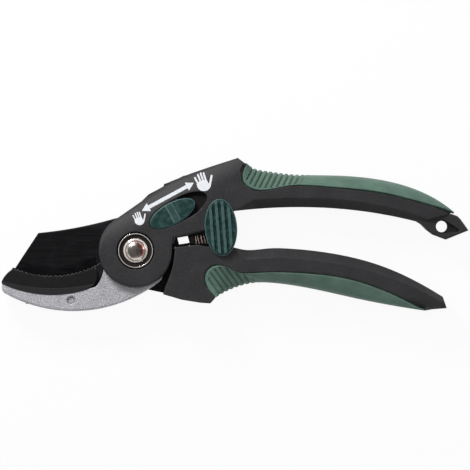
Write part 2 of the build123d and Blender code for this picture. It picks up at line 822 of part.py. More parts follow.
def make_pivot_cup_washer():
    """Washer under the bolt's head, dished inside a raised rim."""
    floor = z_front - counterbore_depth
    seat = floor + cup_t
    inner = bolt_r + fit
    profile = face_of(Polyline(
        (inner, floor), (cup_r, floor), (cup_r, seat + cup_wall), (cup_r - cup_rim, seat + cup_wall),
        (cup_r - cup_rim - cup_slope, seat + cup_dish), (dome_r + cup_dish, seat), (inner, seat), close=True))
    return revolve(Plane.XZ * profile, Axis.Z)


def make_pivot_bush():
    """Bush between the jaw's cheeks that the blade turns on."""
    return ring((0, 0), bolt_r + fit, bush_r, z_slot, z_slot_top)


def make_blade_shims():
    """Thin washers on both sides of the blade."""
    inner = bush_r + fit
    levels = [(z_slot, z_blade), (z_blade_top, z_slot_top)]
    return [ring((0, 0), inner, shim_r, low, high) for low, high in levels]


def make_pivot_rear_washer():
    """Plain washer under the nut."""
    return ring((0, 0), bolt_r + fit, rear_washer_r, z_jaw - rear_washer_t, z_jaw)


def make_pivot_nut():
    """Thin hexagon nut in the well of the rear cover."""
    top = z_jaw - rear_washer_t
    hexagon = RegularPolygon(nut_across_flats / 2, 6, major_radius=False)
    nut = slab(hexagon, top - nut_t, top)
    nut = chamfer(nut.faces().sort_by(Axis.Z)[0].edges(), small_edge)
    return nut - rod((0, 0), bolt_r + fit, 0, top + cut_over)


def make_main_spring():
    """Torsion spring round the pivot that pushes the handles apart."""
    z0 = z_slot_top + spring_wire / 2 + spring_lift
    height = spring_turns * spring_pitch
    path = Helix(spring_pitch, height, spring_r)
    coil = sweep(Plane(path @ 0, z_dir=path % 0) * Circle(spring_wire / 2), path, is_frenet=True)
    wire = Pos(0, 0, z0) * coil
    wire += rod((spring_r, 0), spring_wire / 2, z_blade_top - spring_leg_depth, z0)
    leg = Cylinder(spring_wire / 2, spring_leg, align=(Align.CENTER, Align.CENTER, Align.MIN))
    return wire + Pos(spring_r, 0, z0 + height) * Rot(0, 90, 0) * leg


# Pieces of the lower arm
def make_blade():
    """Blade with both sides ground to the edge, round lug and tang."""
    blade = slab(blade_face(), z_blade, z_blade_top)
    back = ThreePointArc(blade_corner, blade_back_mid, blade_back_end)
    blade = chamfer(edges_along(blade, back), spine_edge)
    edge_r = pad_top_r + channel_depth - edge_gap
    drop = (blade_t - edge_land) / 2 * (edge_bevel + cut_over) / edge_bevel
    bevel_start = (edge_r - edge_bevel, 0)
    grind = face_of(Polyline(bevel_start, (edge_r + cut_over, 0), (edge_r + cut_over, -drop), close=True))
    turned = revolve(Plane.XZ * grind, Axis.Z)
    front = Pos(anvil_centre[0], anvil_centre[1], z_blade_top) * turned
    rear = Pos(anvil_centre[0], anvil_centre[1], z_blade) * mirror(turned, Plane.XY)
    lug_side = rod((0, 0), lug_r + grind_clear, 0, z_front) + block(-lug_r, far, -far, far, 0, z_front)
    blade -= front - lug_side
    blade -= rear - lug_side
    blade -= rod((0, 0), bush_r + running, 0, z_front)
    blade -= rod((spring_r, 0), spring_wire / 2 + fit, z_blade_top - spring_leg_depth - spring_lift, z_front)
    for at in blade_screw_at:
        blade -= rod(at, screw_r + fit, 0, z_front)
    return blade


def make_lower_handle():
    """Moulded lower handle with slots for the tang and the catch and a rebate for the tray's foot."""
    handle = lower_bar() - slab(lower_grip_face(), -cut_over, z_front + cut_over)
    handle += core(lower_core_in, lower_core_out)
    for cut in facet_cuts(Spline(*lower_inner), -1):
        handle -= cut
    handle -= slab(blade_face(), z_blade, z_blade_top)
    for at in blade_screw_at:
        handle -= screw_hole(at, screw_tip_z, screw_sink)
    gap = catch_plate_t / 2 + slide_gap
    left = catch_plate_left - catch_room
    right = catch_plate_right + catch_travel + catch_room
    handle -= block(left, right, hook_low - catch_room, far, catch_z - gap, catch_z + gap)
    handle -= block(tray_left - tray_gap, catch_plate_left + tray_gap, tray_low - tray_gap, far,
                    z_jaw - tray_gap, tray_top() + tray_gap)
    return handle - rod(keeper_at(), keeper_r + fit, -cut_over, z_front - bar_facet + slide_gap)


def keeper_at():
    """Centre of the keeper pin, just past the hook's lip and above it."""
    x = catch_plate_left + hook_arm + hook_lip + keeper_gap + keeper_r
    y = hook_low + hook_lip_t + keeper_gap + keeper_r
    return (x, y)


def make_lower_grip():
    """Soft grip on the lower handle, ribbed under the fingers."""
    grip = lower_bar() & slab(lower_grip_face(), -cut_over, z_front + cut_over)
    grip -= core(lower_core_in, lower_core_out)
    outer = Spline(lower_end[-1], *lower_outer)
    for cutter in ribs(outer, lower_rib_count, lower_rib_from, lower_rib_pitch, lower_rib_angle):
        grip -= cutter
    return grip


def make_blade_screws():
    """Screws that hold the blade's tang in the lower handle."""
    return [screw(at, screw_tip_z, screw_sink) for at in blade_screw_at]


def make_keeper_pin():
    """Cross pin that the catch hooks under."""
    return rod(keeper_at(), keeper_r, keeper_inset, z_front - bar_facet)


# Hand size adjuster
def make_adjuster_button():
    """Long oval button with two raised cross ridges."""
    floor = z_front - adjuster_recess + adjuster_lift
    button = slab(adjuster_shape(), floor, floor + adjuster_t)
    button = fillet(button.edges().sort_by(Axis.Z)[-1], adjuster_crown)
    for offset_x in adjuster_ridges:
        width, rise = adjuster_ridge
        bar = Pos(offset_x, 0) * Rectangle(width, 2 * (adjuster_half[1] - adjuster_ridge_inset))
        button += slab(bar, floor, floor + adjuster_t + rise)
    button = adjuster_place() * button
    return button - rod(adjuster_at, adjuster_pin_r + fit, floor - cut_over, floor + adjuster_t / 2)


def make_adjuster_pin():
    """Stop pin below the button."""
    top = z_front - adjuster_recess + adjuster_lift + adjuster_t / 2
    return rod(adjuster_at, adjuster_pin_r, z_jaw + tail_t + slide_gap, top)


def make_adjuster_clip():
    """Clip on the pin that holds the button down in its slot."""
    top = z_plate - slide_gap
    length, width, thick = adjuster_clip
    plate = adjuster_place() * slab(RectangleRounded(length, width, adjuster_clip_round), top - thick, top)
    return plate - rod(adjuster_at, adjuster_pin_r + fit, 0, z_front)


# Catch
def make_catch_button():
    """Ribbed oval button with a post that reaches the catch plate."""
    low = z_front + slide_gap
    shape = Ellipse(*catch_half)
    top = slab(shape, low, low + catch_t)
    top = fillet(top.edges().sort_by(Axis.Z)[-1], catch_edge)
    width, rise = catch_rib
    inner = Ellipse(catch_half[0] - catch_rib_inset, catch_half[1] - catch_rib_inset)
    for i in range(catch_rib_count):
        x = (i - (catch_rib_count - 1) / 2) * catch_rib_pitch
        bar = (Pos(x, 0) * Rectangle(width, 4 * catch_half[1])) & inner
        rib = slab(bar, low, low + catch_t + rise)
        top += rib
    button = Pos(*catch_at) * Rot(0, 0, catch_angle) * top
    post = Pos(*catch_post_at) * RectangleRounded(*catch_post, catch_post_round)
    button += slab(post, catch_z + catch_plate_t / 2, low + catch_post_root)
    return button - rod(catch_post_at, screw_r + fit, 0, screw_tip_z + slide_gap)


def make_catch_plate():
    """Steel plate that slides in the neck, with the hook for the keeper pin."""
    left = catch_plate_left
    arm = left + hook_arm
    lip = arm + hook_lip
    outline = Polyline(
        (left, hook_low), (lip, hook_low), (lip, hook_low + hook_lip_t), (arm, hook_low + hook_lip_t),
        (arm, catch_plate_low), (catch_plate_right, catch_plate_low), (catch_plate_right, catch_plate_high),
        (arm, catch_plate_high), (left, catch_plate_high - catch_plate_slant), close=True)
    plate = slab(face_of(outline), catch_z - catch_plate_t / 2, catch_z + catch_plate_t / 2)
    plate -= stem_place(left) * Cylinder(stem_spigot_r + fit, 2 * (stem_spigot + slide_gap))
    return plate - rod(catch_post_at, screw_r + fit, 0, z_front)


def make_catch_stem():
    """Stem of the catch with its square head."""
    up = (Align.CENTER, Align.CENTER, Align.MIN)
    long, across = stem_head
    head = chamfer(Box(across, across, long, align=up).edges(), small_edge)
    lean = radians(catch_angle)
    reach = (catch_plate_left - stem_head_x - stem_r * sin(lean)) / cos(lean) - fit
    stem = head + Cylinder(stem_r, reach, align=up) + Cylinder(stem_spigot_r, reach + stem_spigot, align=up)
    return stem_place(stem_head_x) * stem


def make_catch_spring():
    """Coil spring on the stem, between its head and the guide."""
    start = stem_head_x + stem_head[0] + coil_gap
    end = catch_plate_left - slide_gap - guide_t - coil_gap
    length = (end - start) / cos(radians(catch_angle)) - coil_wire
    path = Helix(length / coil_turns, length, coil_r)
    coil = sweep(Plane(path @ 0, z_dir=path % 0) * Circle(coil_wire / 2), path, is_frenet=True)
    return stem_place(start + coil_wire / 2) * coil


def make_catch_screw():
    """Screw that holds the plate to the button's post."""
    return screw(catch_post_at, screw_tip_z, catch_z - catch_plate_t / 2 - screw_head_t)


pieces = {
    "upper_handle": make_upper_handle,
    "rear_cover": make_rear_cover,
    "cover_screws": make_cover_screws,
    "upper_grip": make_upper_grip,
    "anvil_jaw": make_anvil_jaw,
    "anvil_pad": make_anvil_pad,
    "pad_pin": make_pad_pin,
    "pivot_bolt": make_pivot_bolt,
    "pivot_cup_washer": make_pivot_cup_washer,
    "pivot_bush": make_pivot_bush,
    "blade_shims": make_blade_shims,
    "pivot_rear_washer": make_pivot_rear_washer,
    "pivot_nut": make_pivot_nut,
    "main_spring": make_main_spring,
    "lower_handle": make_lower_handle,
    "lower_grip": make_lower_grip,
    "blade": make_blade,
    "blade_screws": make_blade_screws,
    "keeper_pin": make_keeper_pin,
    "adjuster_button": make_adjuster_button,
    "adjuster_pin": make_adjuster_pin,
    "adjuster_clip": make_adjuster_clip,
    "catch_button": make_catch_button,
    "catch_plate": make_catch_plate,
    "catch_stem": make_catch_stem,
    "catch_spring": make_catch_spring,
    "catch_screw": make_catch_screw,
}

os.makedirs("parts", exist_ok=True)
made = {}
for name, make in pieces.items():
    shape = make()
    solids = [s for piece in shape for s in piece.solids()] if isinstance(shape, list) else shape.solids()
    made[name] = Compound(children=list(solids))

# The origin is the middle of the lowest face of the whole part's box
box = Compound(children=[solid for shape in made.values() for solid in shape.solids()]).bounding_box()
origin = Vector((box.min.X + box.max.X) / 2, (box.min.Y + box.max.Y) / 2, box.min.Z)
for name, shape in made.items():
    export_step(Pos(-origin.X, -origin.Y, -origin.Z) * shape, f"parts/{name}.step")
print("pivot at", round(-origin.X, 4), round(-origin.Y, 4), "lowest", round(box.min.Z, 4))
print("size", [round(v, 3) for v in (box.size.X, box.size.Y, box.size.Z)])
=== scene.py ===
"""Looks of the anvil pruning shears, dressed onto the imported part.

Plan sizes are millimetres from the pivot's axis: X runs along the handles and Y points to the upper handle.
Heights are millimetres above the surface that the shears lie on, and FRONT is the height of the head's front.
Plan.to_part turns both into metres. Points closer than MERGE millimetres are joined.
"""
from __future__ import annotations

import json
import logging
import math
from dataclasses import dataclass
from enum import Enum
from typing import Any, Sequence, Union

import bmesh
import bpy
import numpy as np
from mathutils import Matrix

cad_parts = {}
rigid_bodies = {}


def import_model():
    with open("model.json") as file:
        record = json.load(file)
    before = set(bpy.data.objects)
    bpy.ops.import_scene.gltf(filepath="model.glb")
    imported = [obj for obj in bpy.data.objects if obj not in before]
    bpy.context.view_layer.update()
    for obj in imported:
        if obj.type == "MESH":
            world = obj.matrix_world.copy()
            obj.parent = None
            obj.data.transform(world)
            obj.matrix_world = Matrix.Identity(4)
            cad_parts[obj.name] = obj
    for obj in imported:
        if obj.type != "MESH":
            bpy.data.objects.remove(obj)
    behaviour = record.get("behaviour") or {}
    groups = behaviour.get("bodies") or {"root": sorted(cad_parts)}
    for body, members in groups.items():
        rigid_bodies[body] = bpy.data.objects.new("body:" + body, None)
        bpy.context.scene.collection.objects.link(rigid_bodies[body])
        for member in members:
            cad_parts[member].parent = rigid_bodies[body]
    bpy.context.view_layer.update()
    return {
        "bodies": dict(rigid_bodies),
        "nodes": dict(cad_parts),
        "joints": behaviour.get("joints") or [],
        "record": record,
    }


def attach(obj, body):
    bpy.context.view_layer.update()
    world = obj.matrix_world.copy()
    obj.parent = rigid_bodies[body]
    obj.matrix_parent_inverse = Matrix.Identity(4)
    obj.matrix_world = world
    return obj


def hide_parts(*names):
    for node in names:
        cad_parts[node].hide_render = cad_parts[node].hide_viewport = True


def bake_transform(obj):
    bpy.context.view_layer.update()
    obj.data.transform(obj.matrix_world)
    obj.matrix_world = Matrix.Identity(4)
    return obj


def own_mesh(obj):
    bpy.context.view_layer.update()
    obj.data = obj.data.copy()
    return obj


log = logging.getLogger("shears")

MM = 0.001
MICRON = 0.001 * MM
KEY_BASE = 2 ** 20
MERGE = 0.002
FRONT = 18.2
WIRE_SIDES = 12
Point = tuple[float, float]
Span = tuple[float, float]
Triple = tuple[float, float, float]
Colour = tuple[float, float, float, float]


def srgb(red: int, green: int, blue: int) -> Colour:
    """Linear colour of a screen colour.

    Args:
        red, green, blue: Screen values from 0 to 255.

    Returns:
        Linear red, green and blue, and an alpha of 1.
    """
    share = np.array([red, green, blue]) / 255.0
    linear = np.where(share <= 0.04045, share / 12.92, ((share + 0.055) / 1.055) ** 2.4)
    return (float(linear[0]), float(linear[1]), float(linear[2]), 1.0)


# Shaders

class Value:
    """Number on a node's socket. Arithmetic on it adds Math nodes."""

    def __init__(self, nodes: Nodes, socket: bpy.types.NodeSocket) -> None:
        """Keep the socket and the nodes that it belongs to."""
        self.nodes = nodes
        self.socket = socket

    def math(self, operation: str, *others: Operand) -> Value:
        """Result of a Math node on this value and others."""
        inputs = dict(enumerate((self, *others)))
        return self.nodes.node("ShaderNodeMath", {"operation": operation}, inputs)

    def __add__(self, other: Operand) -> Value:
        """Sum."""
        return self.math("ADD", other)

    __radd__ = __add__

    def __mul__(self, other: Operand) -> Value:
        """Product."""
        return self.math("MULTIPLY", other)

    __rmul__ = __mul__

    def __sub__(self, other: Operand) -> Value:
        """Difference."""
        return self.math("SUBTRACT", other)

    def __rsub__(self, other: float) -> Value:
        """Difference from a number."""
        return (self * -1.0) + other

    def smooth(self, low: float, high: float) -> Value:
        """0 below low, 1 above high and an even S between; low may be the larger one."""
        inputs = {0: self, 1: low, 2: high}
        return self.nodes.node("ShaderNodeMapRange", {"interpolation_type": "SMOOTHSTEP"}, inputs)


Operand = Union[Value, float]


class Nodes:
    """Nodes of a material or of the world."""

    def __init__(self, owner: bpy.types.Material | bpy.types.World, output: str) -> None:
        """Start with the output node alone.

        Args:
            owner: Material or world.
            output: Blender's name of the output node's type.
        """
        owner.use_nodes = True
        self.tree = owner.node_tree
        self.tree.nodes.clear()
        self.output = self.tree.nodes.new(output)

    def node(self, kind: str, settings: dict[str, Any] | None = None,
             inputs: dict[int | str, Any] | None = None, output: int | str = 0) -> Value:
        """Add a node.

        Args:
            kind: Blender's name of the node's type.
            settings: Properties of the node, set first.
            inputs: Values or links of its sockets, by number or name.
            output: Socket that is returned.

        Returns:
            The chosen output.
        """
        made = self.tree.nodes.new(kind)
        for key, value in (settings or {}).items():
            setattr(made, key, value)
        for key, value in (inputs or {}).items():
            self.feed(made.inputs[key], value)
        return Value(self, made.outputs[output])

    def feed(self, socket: bpy.types.NodeSocket, value: Any) -> None:
        """Feed one socket.

        Args:
            socket: Socket of a node in this tree.
            value: Value to link, or a number, vector or colour to set.
        """
        if isinstance(value, Value):
            self.tree.links.new(value.socket, socket)
        else:
            socket.default_value = value

    def show(self, look: Value) -> None:
        """Link a surface or a background to the output node."""
        self.feed(self.output.inputs[0], look)


class Shader(Nodes):
    """Nodes of one material round a Principled BSDF."""

    def __init__(self, name: str) -> None:
        """Make a material that has only its surface node.

        Args:
            name: Name of the material.
        """
        self.material = bpy.data.materials.new(name)
        super().__init__(self.material, "ShaderNodeOutputMaterial")
        self.surface = self.node("ShaderNodeBsdfPrincipled")
        self.show(self.surface)

    def set(self, **values: Any) -> None:
        """Feed sockets of the surface; an underscore in a name stands for a space."""
        for key, value in values.items():
            self.feed(self.surface.socket.node.inputs[key.replace("_", " ")], value)

    def place(self, scale: Triple = (1.0, 1.0, 1.0), turn: float = 0.0) -> Value:
        """Object coordinates, stretched and then turned about Z.

        Args:
            scale: Stretch along X, Y and Z.
            turn: Turn in degrees.

        Returns:
            The coordinates in metres.
        """
        spot = self.node("ShaderNodeTexCoord", output="Object")
        inputs = {"Vector": spot, "Rotation": (0.0, 0.0, math.radians(turn)), "Scale": scale}
        return self.node("ShaderNodeMapping", {"vector_type": "POINT"}, inputs)

    def axis(self, name: str) -> Value:
        """One Object coordinate, X, Y or Z, in millimetres."""
        spot = self.node("ShaderNodeTexCoord", output="Object")
        return self.node("ShaderNodeSeparateXYZ", None, {0: spot}, name) * (1.0 / MM)

    def noise(self, grain: float, detail: float = 2.0, place: Value | None = None) -> Value:
        """Cloudy pattern about 0.5.

        Args:
            grain: Size of a patch in millimetres.
            detail: Number of finer layers.
            place: Coordinates, or none for the object's own.

        Returns:
            Values from 0 to 1.
        """
        spot = place or self.place()
        return self.node("ShaderNodeTexNoise", None, {
            "Vector": spot, "Scale": 1.0 / (grain * MM), "Detail": detail, "Roughness": 0.6})

    def cells(self, grain: float) -> Value:
        """Distance to the nearest of scattered points, grain millimetres apart."""
        return self.node("ShaderNodeTexVoronoi", None, {"Vector": self.place(), "Scale": 1.0 / (grain * MM)})

    def mix(self, share: Operand, low: Any, high: Any) -> Value:
        """Colour between two colours."""
        return self.node("ShaderNodeMix", {"data_type": "RGBA"}, {0: share, 6: low, 7: high}, 2)

    def rounded(self, radius: float) -> Value:
        """Normal with every edge rounded to a radius in millimetres."""
        return self.node("ShaderNodeBevel", {"samples": 6}, {"Radius": radius * MM})

    def edges(self, radius: float) -> Value:
        """Mask of the corners, from the angle between the rounded and the true normal.

        Args:
            radius: Reach of a corner in millimetres.

        Returns:
            1 where the surface turns a corner, 0 on its faces.
        """
        true = self.node("ShaderNodeNewGeometry", output="Normal")
        inputs = {0: self.rounded(radius), 1: true}
        dot = self.node("ShaderNodeVectorMath", {"operation": "DOT_PRODUCT"}, inputs, "Value")
        return dot.smooth(0.985, 0.80)

    def bump(self, height: Value, depth: float, normal: Value | None = None) -> Value:
        """Normal of a relief.

        Args:
            height: Pattern from 0 to 1.
            depth: Its depth in millimetres.
            normal: Normal that it lies on.

        Returns:
            The bumped normal.
        """
        inputs = {"Strength": 1.0, "Distance": depth * MM, "Height": height}
        if normal is not None:
            inputs["Normal"] = normal
        return self.node("ShaderNodeBump", None, inputs)


# Finishes

@dataclass(frozen=True)
class Finish:
    """Look of one material."""

    name: str

    def paint(self, s: Shader) -> None:
        """Feed the sockets of the surface.

        Args:
            s: Shader of the material.
        """
        raise NotImplementedError

    def material(self) -> bpy.types.Material:
        """Make a material with this look.

        Returns:
            The material.
        """
        s = Shader(self.name)
        self.paint(s)
        return s.material


@dataclass(frozen=True)
class MouldedNylon(Finish):
    """Black glass filled nylon: fine spark eroded grain, faint cloudy shine, paler edges from rubbing."""

    name: str = "black_nylon"
    colour: Colour = srgb(43, 42, 44)
    pale: Colour = srgb(56, 54, 56)
    wear_and_highlight_tone: Colour = srgb(88, 86, 88)
    shade: Colour = srgb(6, 5, 6)
    grain: float = 0.42
    grain_depth: float = 0.06
    edge: float = 0.7
    well: Triple | None = None
    roll: Triple | None = None

    def paint(self, s: Shader) -> None:
        """Feed the sockets of the surface.

        A well is the X below which surfaces between its two heights are painted dark, as painted shade in the
        recess. A roll is a slant in degrees, the distance at which the face starts to fall away towards that
        slant, and its hollow per millimetre.

        Args:
            s: Shader of the material.
        """
        cloud = s.noise(9.0, 3.0)
        grit = s.noise(self.grain, 1.5)
        wear_and_highlight = s.edges(self.edge) * s.noise(2.2, 3.0).smooth(0.35, 0.7)
        base = s.mix(cloud.smooth(0.35, 0.75) * 0.45, self.colour, self.pale)
        base = s.mix(grit.smooth(0.56, 0.78) * 0.5, base, self.wear_and_highlight_tone)
        base = s.mix(wear_and_highlight * 0.5, base, self.wear_and_highlight_tone)
        # Painted shade: surfaces in the adjuster's recess below its brim are darkened towards the shade
        # colour.
        if self.well is not None:
            reach, floor, brim = self.well
            height = s.axis("Z")
            recess_shade = height.smooth(brim, brim - 0.5) * height.smooth(floor - 0.4, floor - 0.2)
            base = s.mix(recess_shade * s.axis("X").smooth(reach, reach - 1.0) * 0.9, base, self.shade)
        normal = s.rounded(self.edge)
        if self.roll is not None:
            slant, start, bend = self.roll
            lean = math.radians(slant)
            past = (s.axis("X") * math.cos(lean) + s.axis("Y") * math.sin(lean) - start).math("MAXIMUM", 0.0)
            normal = s.bump(past * past * (-0.5 * bend), 1.0, normal)
        s.set(Base_Color=base, Roughness=0.46 + cloud * 0.2, Specular_IOR_Level=0.34,
              Normal=s.bump(grit, self.grain_depth, normal))


@dataclass(frozen=True)
class SoftGrip(Finish):
    """Matt green soft grip: dusty bloom, fine grain, grime and painted shade in the grooves between its ribs.
    """

    name: str = "soft_grip"
    colour: Colour = srgb(78, 104, 92)
    bloom: Colour = srgb(98, 124, 112)
    groove_grime_and_shade: Colour = srgb(34, 62, 50)
    grain: float = 0.22
    grain_depth: float = 0.03

    def paint(self, s: Shader) -> None:
        """Feed the sockets of the surface; the mesh gives the depth of its grooves.

        Args:
            s: Shader of the material.
        """
        groove = s.node("ShaderNodeAttribute", {"attribute_name": "groove"}, None, "Fac")
        cloud = s.noise(6.0, 4.0)
        grit = s.noise(self.grain, 2.0)
        base = s.mix(cloud.smooth(0.3, 0.75) * 0.7, self.colour, self.bloom)
        base = s.mix(grit.smooth(0.55, 0.8) * 0.3, base, self.bloom)
        # Grooves darkened: part grime, part painted shade in the creases between ribs.
        base = s.mix(groove * 0.75, base, self.groove_grime_and_shade)
        s.set(Base_Color=base, Roughness=0.62 + cloud * 0.2, Specular_IOR_Level=0.35, Sheen_Weight=0.15,
              Sheen_Roughness=0.5, Normal=s.bump(grit, self.grain_depth))


@dataclass(frozen=True)
class BlastedCasting(Finish):
    """Grey blasted casting: a sandy skin of bright and dark specks, and painted black shade on the jaw's
    tail.
    """

    name: str = "cast_jaw"
    colour: Colour = srgb(186, 186, 191)
    bright: Colour = srgb(234, 234, 239)
    dark: Colour = srgb(132, 132, 138)
    tail_shade: Colour = srgb(38, 37, 39)
    grain: float = 0.52
    tail_from: float = 0.0

    def paint(self, s: Shader) -> None:
        """Feed the sockets of the surface; the painted shade on the tail starts at an Object Y in
        millimetres.

        Args:
            s: Shader of the material.
        """
        # Painted shade: the jaw's tail inside the head is painted near black and less metallic, for the shade
        # it lies in.
        tail = s.axis("Y").smooth(self.tail_from, self.tail_from + 0.4)
        grit = s.noise(self.grain, 3.0)
        cloud = s.noise(5.0, 3.0)
        speck = s.cells(self.grain * 0.8)
        base = s.mix(grit.smooth(0.5, 0.7), self.colour, self.bright)
        base = s.mix(grit.smooth(0.48, 0.32), base, self.dark)
        base = s.mix(cloud.smooth(0.45, 0.75) * 0.25, base, self.dark)
        base = s.mix(tail, base, self.tail_shade)
        height = grit + speck * 0.5
        s.set(Base_Color=base, Metallic=0.35 - tail * 0.35, Roughness=0.5 + grit * 0.2,
              Normal=s.bump(height, 0.06, s.rounded(0.35)))


@dataclass(frozen=True)
class SandyPad(Finish):
    """Black pad: sandy inside the toothed face, smoother and paler on the raised band along its foot, with
    painted highlights on its tooth edges.
    """

    name: str = "pad_plastic"
    colour: Colour = srgb(18, 18, 20)
    speck: Colour = srgb(44, 44, 46)
    band: Colour = srgb(38, 38, 39)
    wear_and_highlight_tone: Colour = srgb(126, 126, 128)
    band_height: float = 14.5
    band_depth: float = 3.7
    tooth_low: Point = (0.0, 0.0)
    tooth_bend: float = 0.0116
    grain: float = 0.34

    def paint(self, s: Shader) -> None:
        """Feed the sockets of the surface; the toothed line is a parabola through its lowest point.

        Args:
            s: Shader of the material.
        """
        height = s.axis("Z")
        along = s.axis("X") - self.tooth_low[0]
        above = s.axis("Y") - self.tooth_low[1] - along * along * self.tooth_bend
        raised = height.smooth(self.band_height - 0.2, self.band_height)
        raised = raised + height.smooth(self.band_depth + 0.2, self.band_depth)
        grit = s.noise(self.grain, 2.5)
        cloud = s.noise(4.0, 3.0)
        # Painted highlight: tooth edges along the toothed line are painted pale for the light they catch.
        wear_and_highlight = s.edges(0.5) * s.noise(1.2, 3.0).smooth(0.3, 0.5) * above.smooth(-1.7, -1.0)
        sandy = s.mix(grit.smooth(0.52, 0.75) * 0.7, self.colour, self.speck)
        plain = s.mix(cloud.smooth(0.4, 0.7) * 0.3, self.band, self.speck)
        base = s.mix(raised, sandy, plain)
        base = s.mix(wear_and_highlight * 0.75, base, self.wear_and_highlight_tone)
        s.set(Base_Color=base, Roughness=0.62 - raised * 0.15, Specular_IOR_Level=0.25,
              Normal=s.bump(grit * (1.0 - raised * 0.75), 0.09, s.rounded(0.3)))


@dataclass(frozen=True)
class CoatedBlade(Finish):
    """Black low friction coating over ground steel: brushed along the blade, and pale where rubbing bares its
    edges.
    """

    name: str = "coated_blade"
    colour: Colour = srgb(10, 10, 12)
    streak: Colour = srgb(50, 50, 54)
    wear_and_highlight_tone: Colour = srgb(84, 84, 88)
    line: float = 0.16
    run: float = 14.0
    turn: float = -3.0

    def paint(self, s: Shader) -> None:
        """Feed the sockets of the surface; a brushed line is as long as run and as wide as line.

        Args:
            s: Shader of the material.
        """
        along = s.place((1.0 / self.run, 1.0 / self.line, 1.0), self.turn)
        fine = {"Vector": along, "Scale": 1.0 / MM, "Detail": 4.0, "Roughness": 0.65}
        brushed = s.node("ShaderNodeTexNoise", None, fine)
        cloud = s.noise(7.0, 3.0)
        wear_and_highlight = s.edges(0.3) * s.noise(1.6, 3.0).smooth(0.35, 0.6)
        base = s.mix(brushed.smooth(0.5, 0.8) * 0.8, self.colour, self.streak)
        base = s.mix(cloud.smooth(0.45, 0.8) * 0.25, base, self.streak)
        base = s.mix(wear_and_highlight * 0.8, base, self.wear_and_highlight_tone)
        s.set(Base_Color=base, Roughness=0.44 + brushed * 0.16, Specular_IOR_Level=0.15,
              Normal=s.bump(brushed, 0.012, s.rounded(0.3)))


@dataclass(frozen=True)
class Plating(Finish):
    """Bright plated metal round the pivot.

    It has fine turning marks, a darker ring in its dish, a rim that turns white as a painted reflection of
    the white surroundings, and a painted brown reflection on one side.
    """

    colour: Colour
    stain: Colour
    centre: Point
    dish: Span
    rim: float
    rim_white_reflection: float
    roughness: float
    smudge: float
    edge: float = 0.12
    turning: float = 18.0
    brown_reflection: Colour = srgb(190, 122, 108)
    brown_reflection_from: float = 40.0
    brown_reflection_run: float = 2.4

    def paint(self, s: Shader) -> None:
        """Feed the sockets of the surface; the darker ring lies between the dish's two radii, inside the
        rim's.

        Args:
            s: Shader of the material.
        """
        x = s.axis("X") - self.centre[0]
        y = s.axis("Y") - self.centre[1]
        radius = (x * x + y * y).math("SQRT")
        inner, outer = self.dish
        ring = radius.smooth(inner - 0.1, inner + 0.1) * radius.smooth(outer + 0.1, outer - 0.1)
        turned = (radius * self.turning).math("SINE") * 0.5 + 0.5
        core = radius.smooth(self.rim, self.rim - 0.5)
        # Painted reflection: the rim loses metallic so that it shows white, for the white surroundings
        # mirrored there.
        wear_and_highlight = radius.smooth(self.rim, self.rim + 0.15)
        smear = s.noise(1.4, 4.0) * core
        # Painted reflection: a brown patch on one side stands for a brown object mirrored in the dome.
        brown = (x + y * 0.4).smooth(self.brown_reflection_from, self.brown_reflection_from + self.brown_reflection_run) * core
        base = s.mix(ring * 0.95, self.colour, self.stain)
        base = s.mix(smear.smooth(0.45, 0.7) * self.smudge, base, self.stain)
        base = s.mix(brown * smear.smooth(0.25, 0.6), base, self.brown_reflection)
        s.set(Base_Color=base, Metallic=1.0 - wear_and_highlight * self.rim_white_reflection,
              Roughness=smear * 0.12 + self.roughness + ring * 0.2,
              Normal=s.bump(turned * core * 0.05 + smear * self.smudge, 0.05, s.rounded(self.edge)))


@dataclass(frozen=True)
class PlainSteel(Finish):
    """Zinc plated steel of screws, pins and inner pieces: soft grey, cloudy, with fine scratches."""

    name: str = "plain_steel"
    colour: Colour = srgb(150, 150, 152)
    dull: Colour = srgb(96, 95, 93)

    def paint(self, s: Shader) -> None:
        """Feed the sockets of the surface.

        Args:
            s: Shader of the material.
        """
        cloud = s.noise(1.8, 4.0)
        scratch = s.noise(0.25, 2.0, s.place((1.0, 0.12, 1.0), 30.0))
        base = s.mix(cloud.smooth(0.35, 0.7), self.colour, self.dull)
        s.set(Base_Color=base, Metallic=0.9, Roughness=0.3 + cloud * 0.25,
              Normal=s.bump(scratch, 0.006, s.rounded(0.15)))


@dataclass(frozen=True)
class Oval:
    """Plan ellipse of a sliding button: centre, angle of its first axis in degrees, and half axes."""

    centre: Point
    angle: float
    half: Point


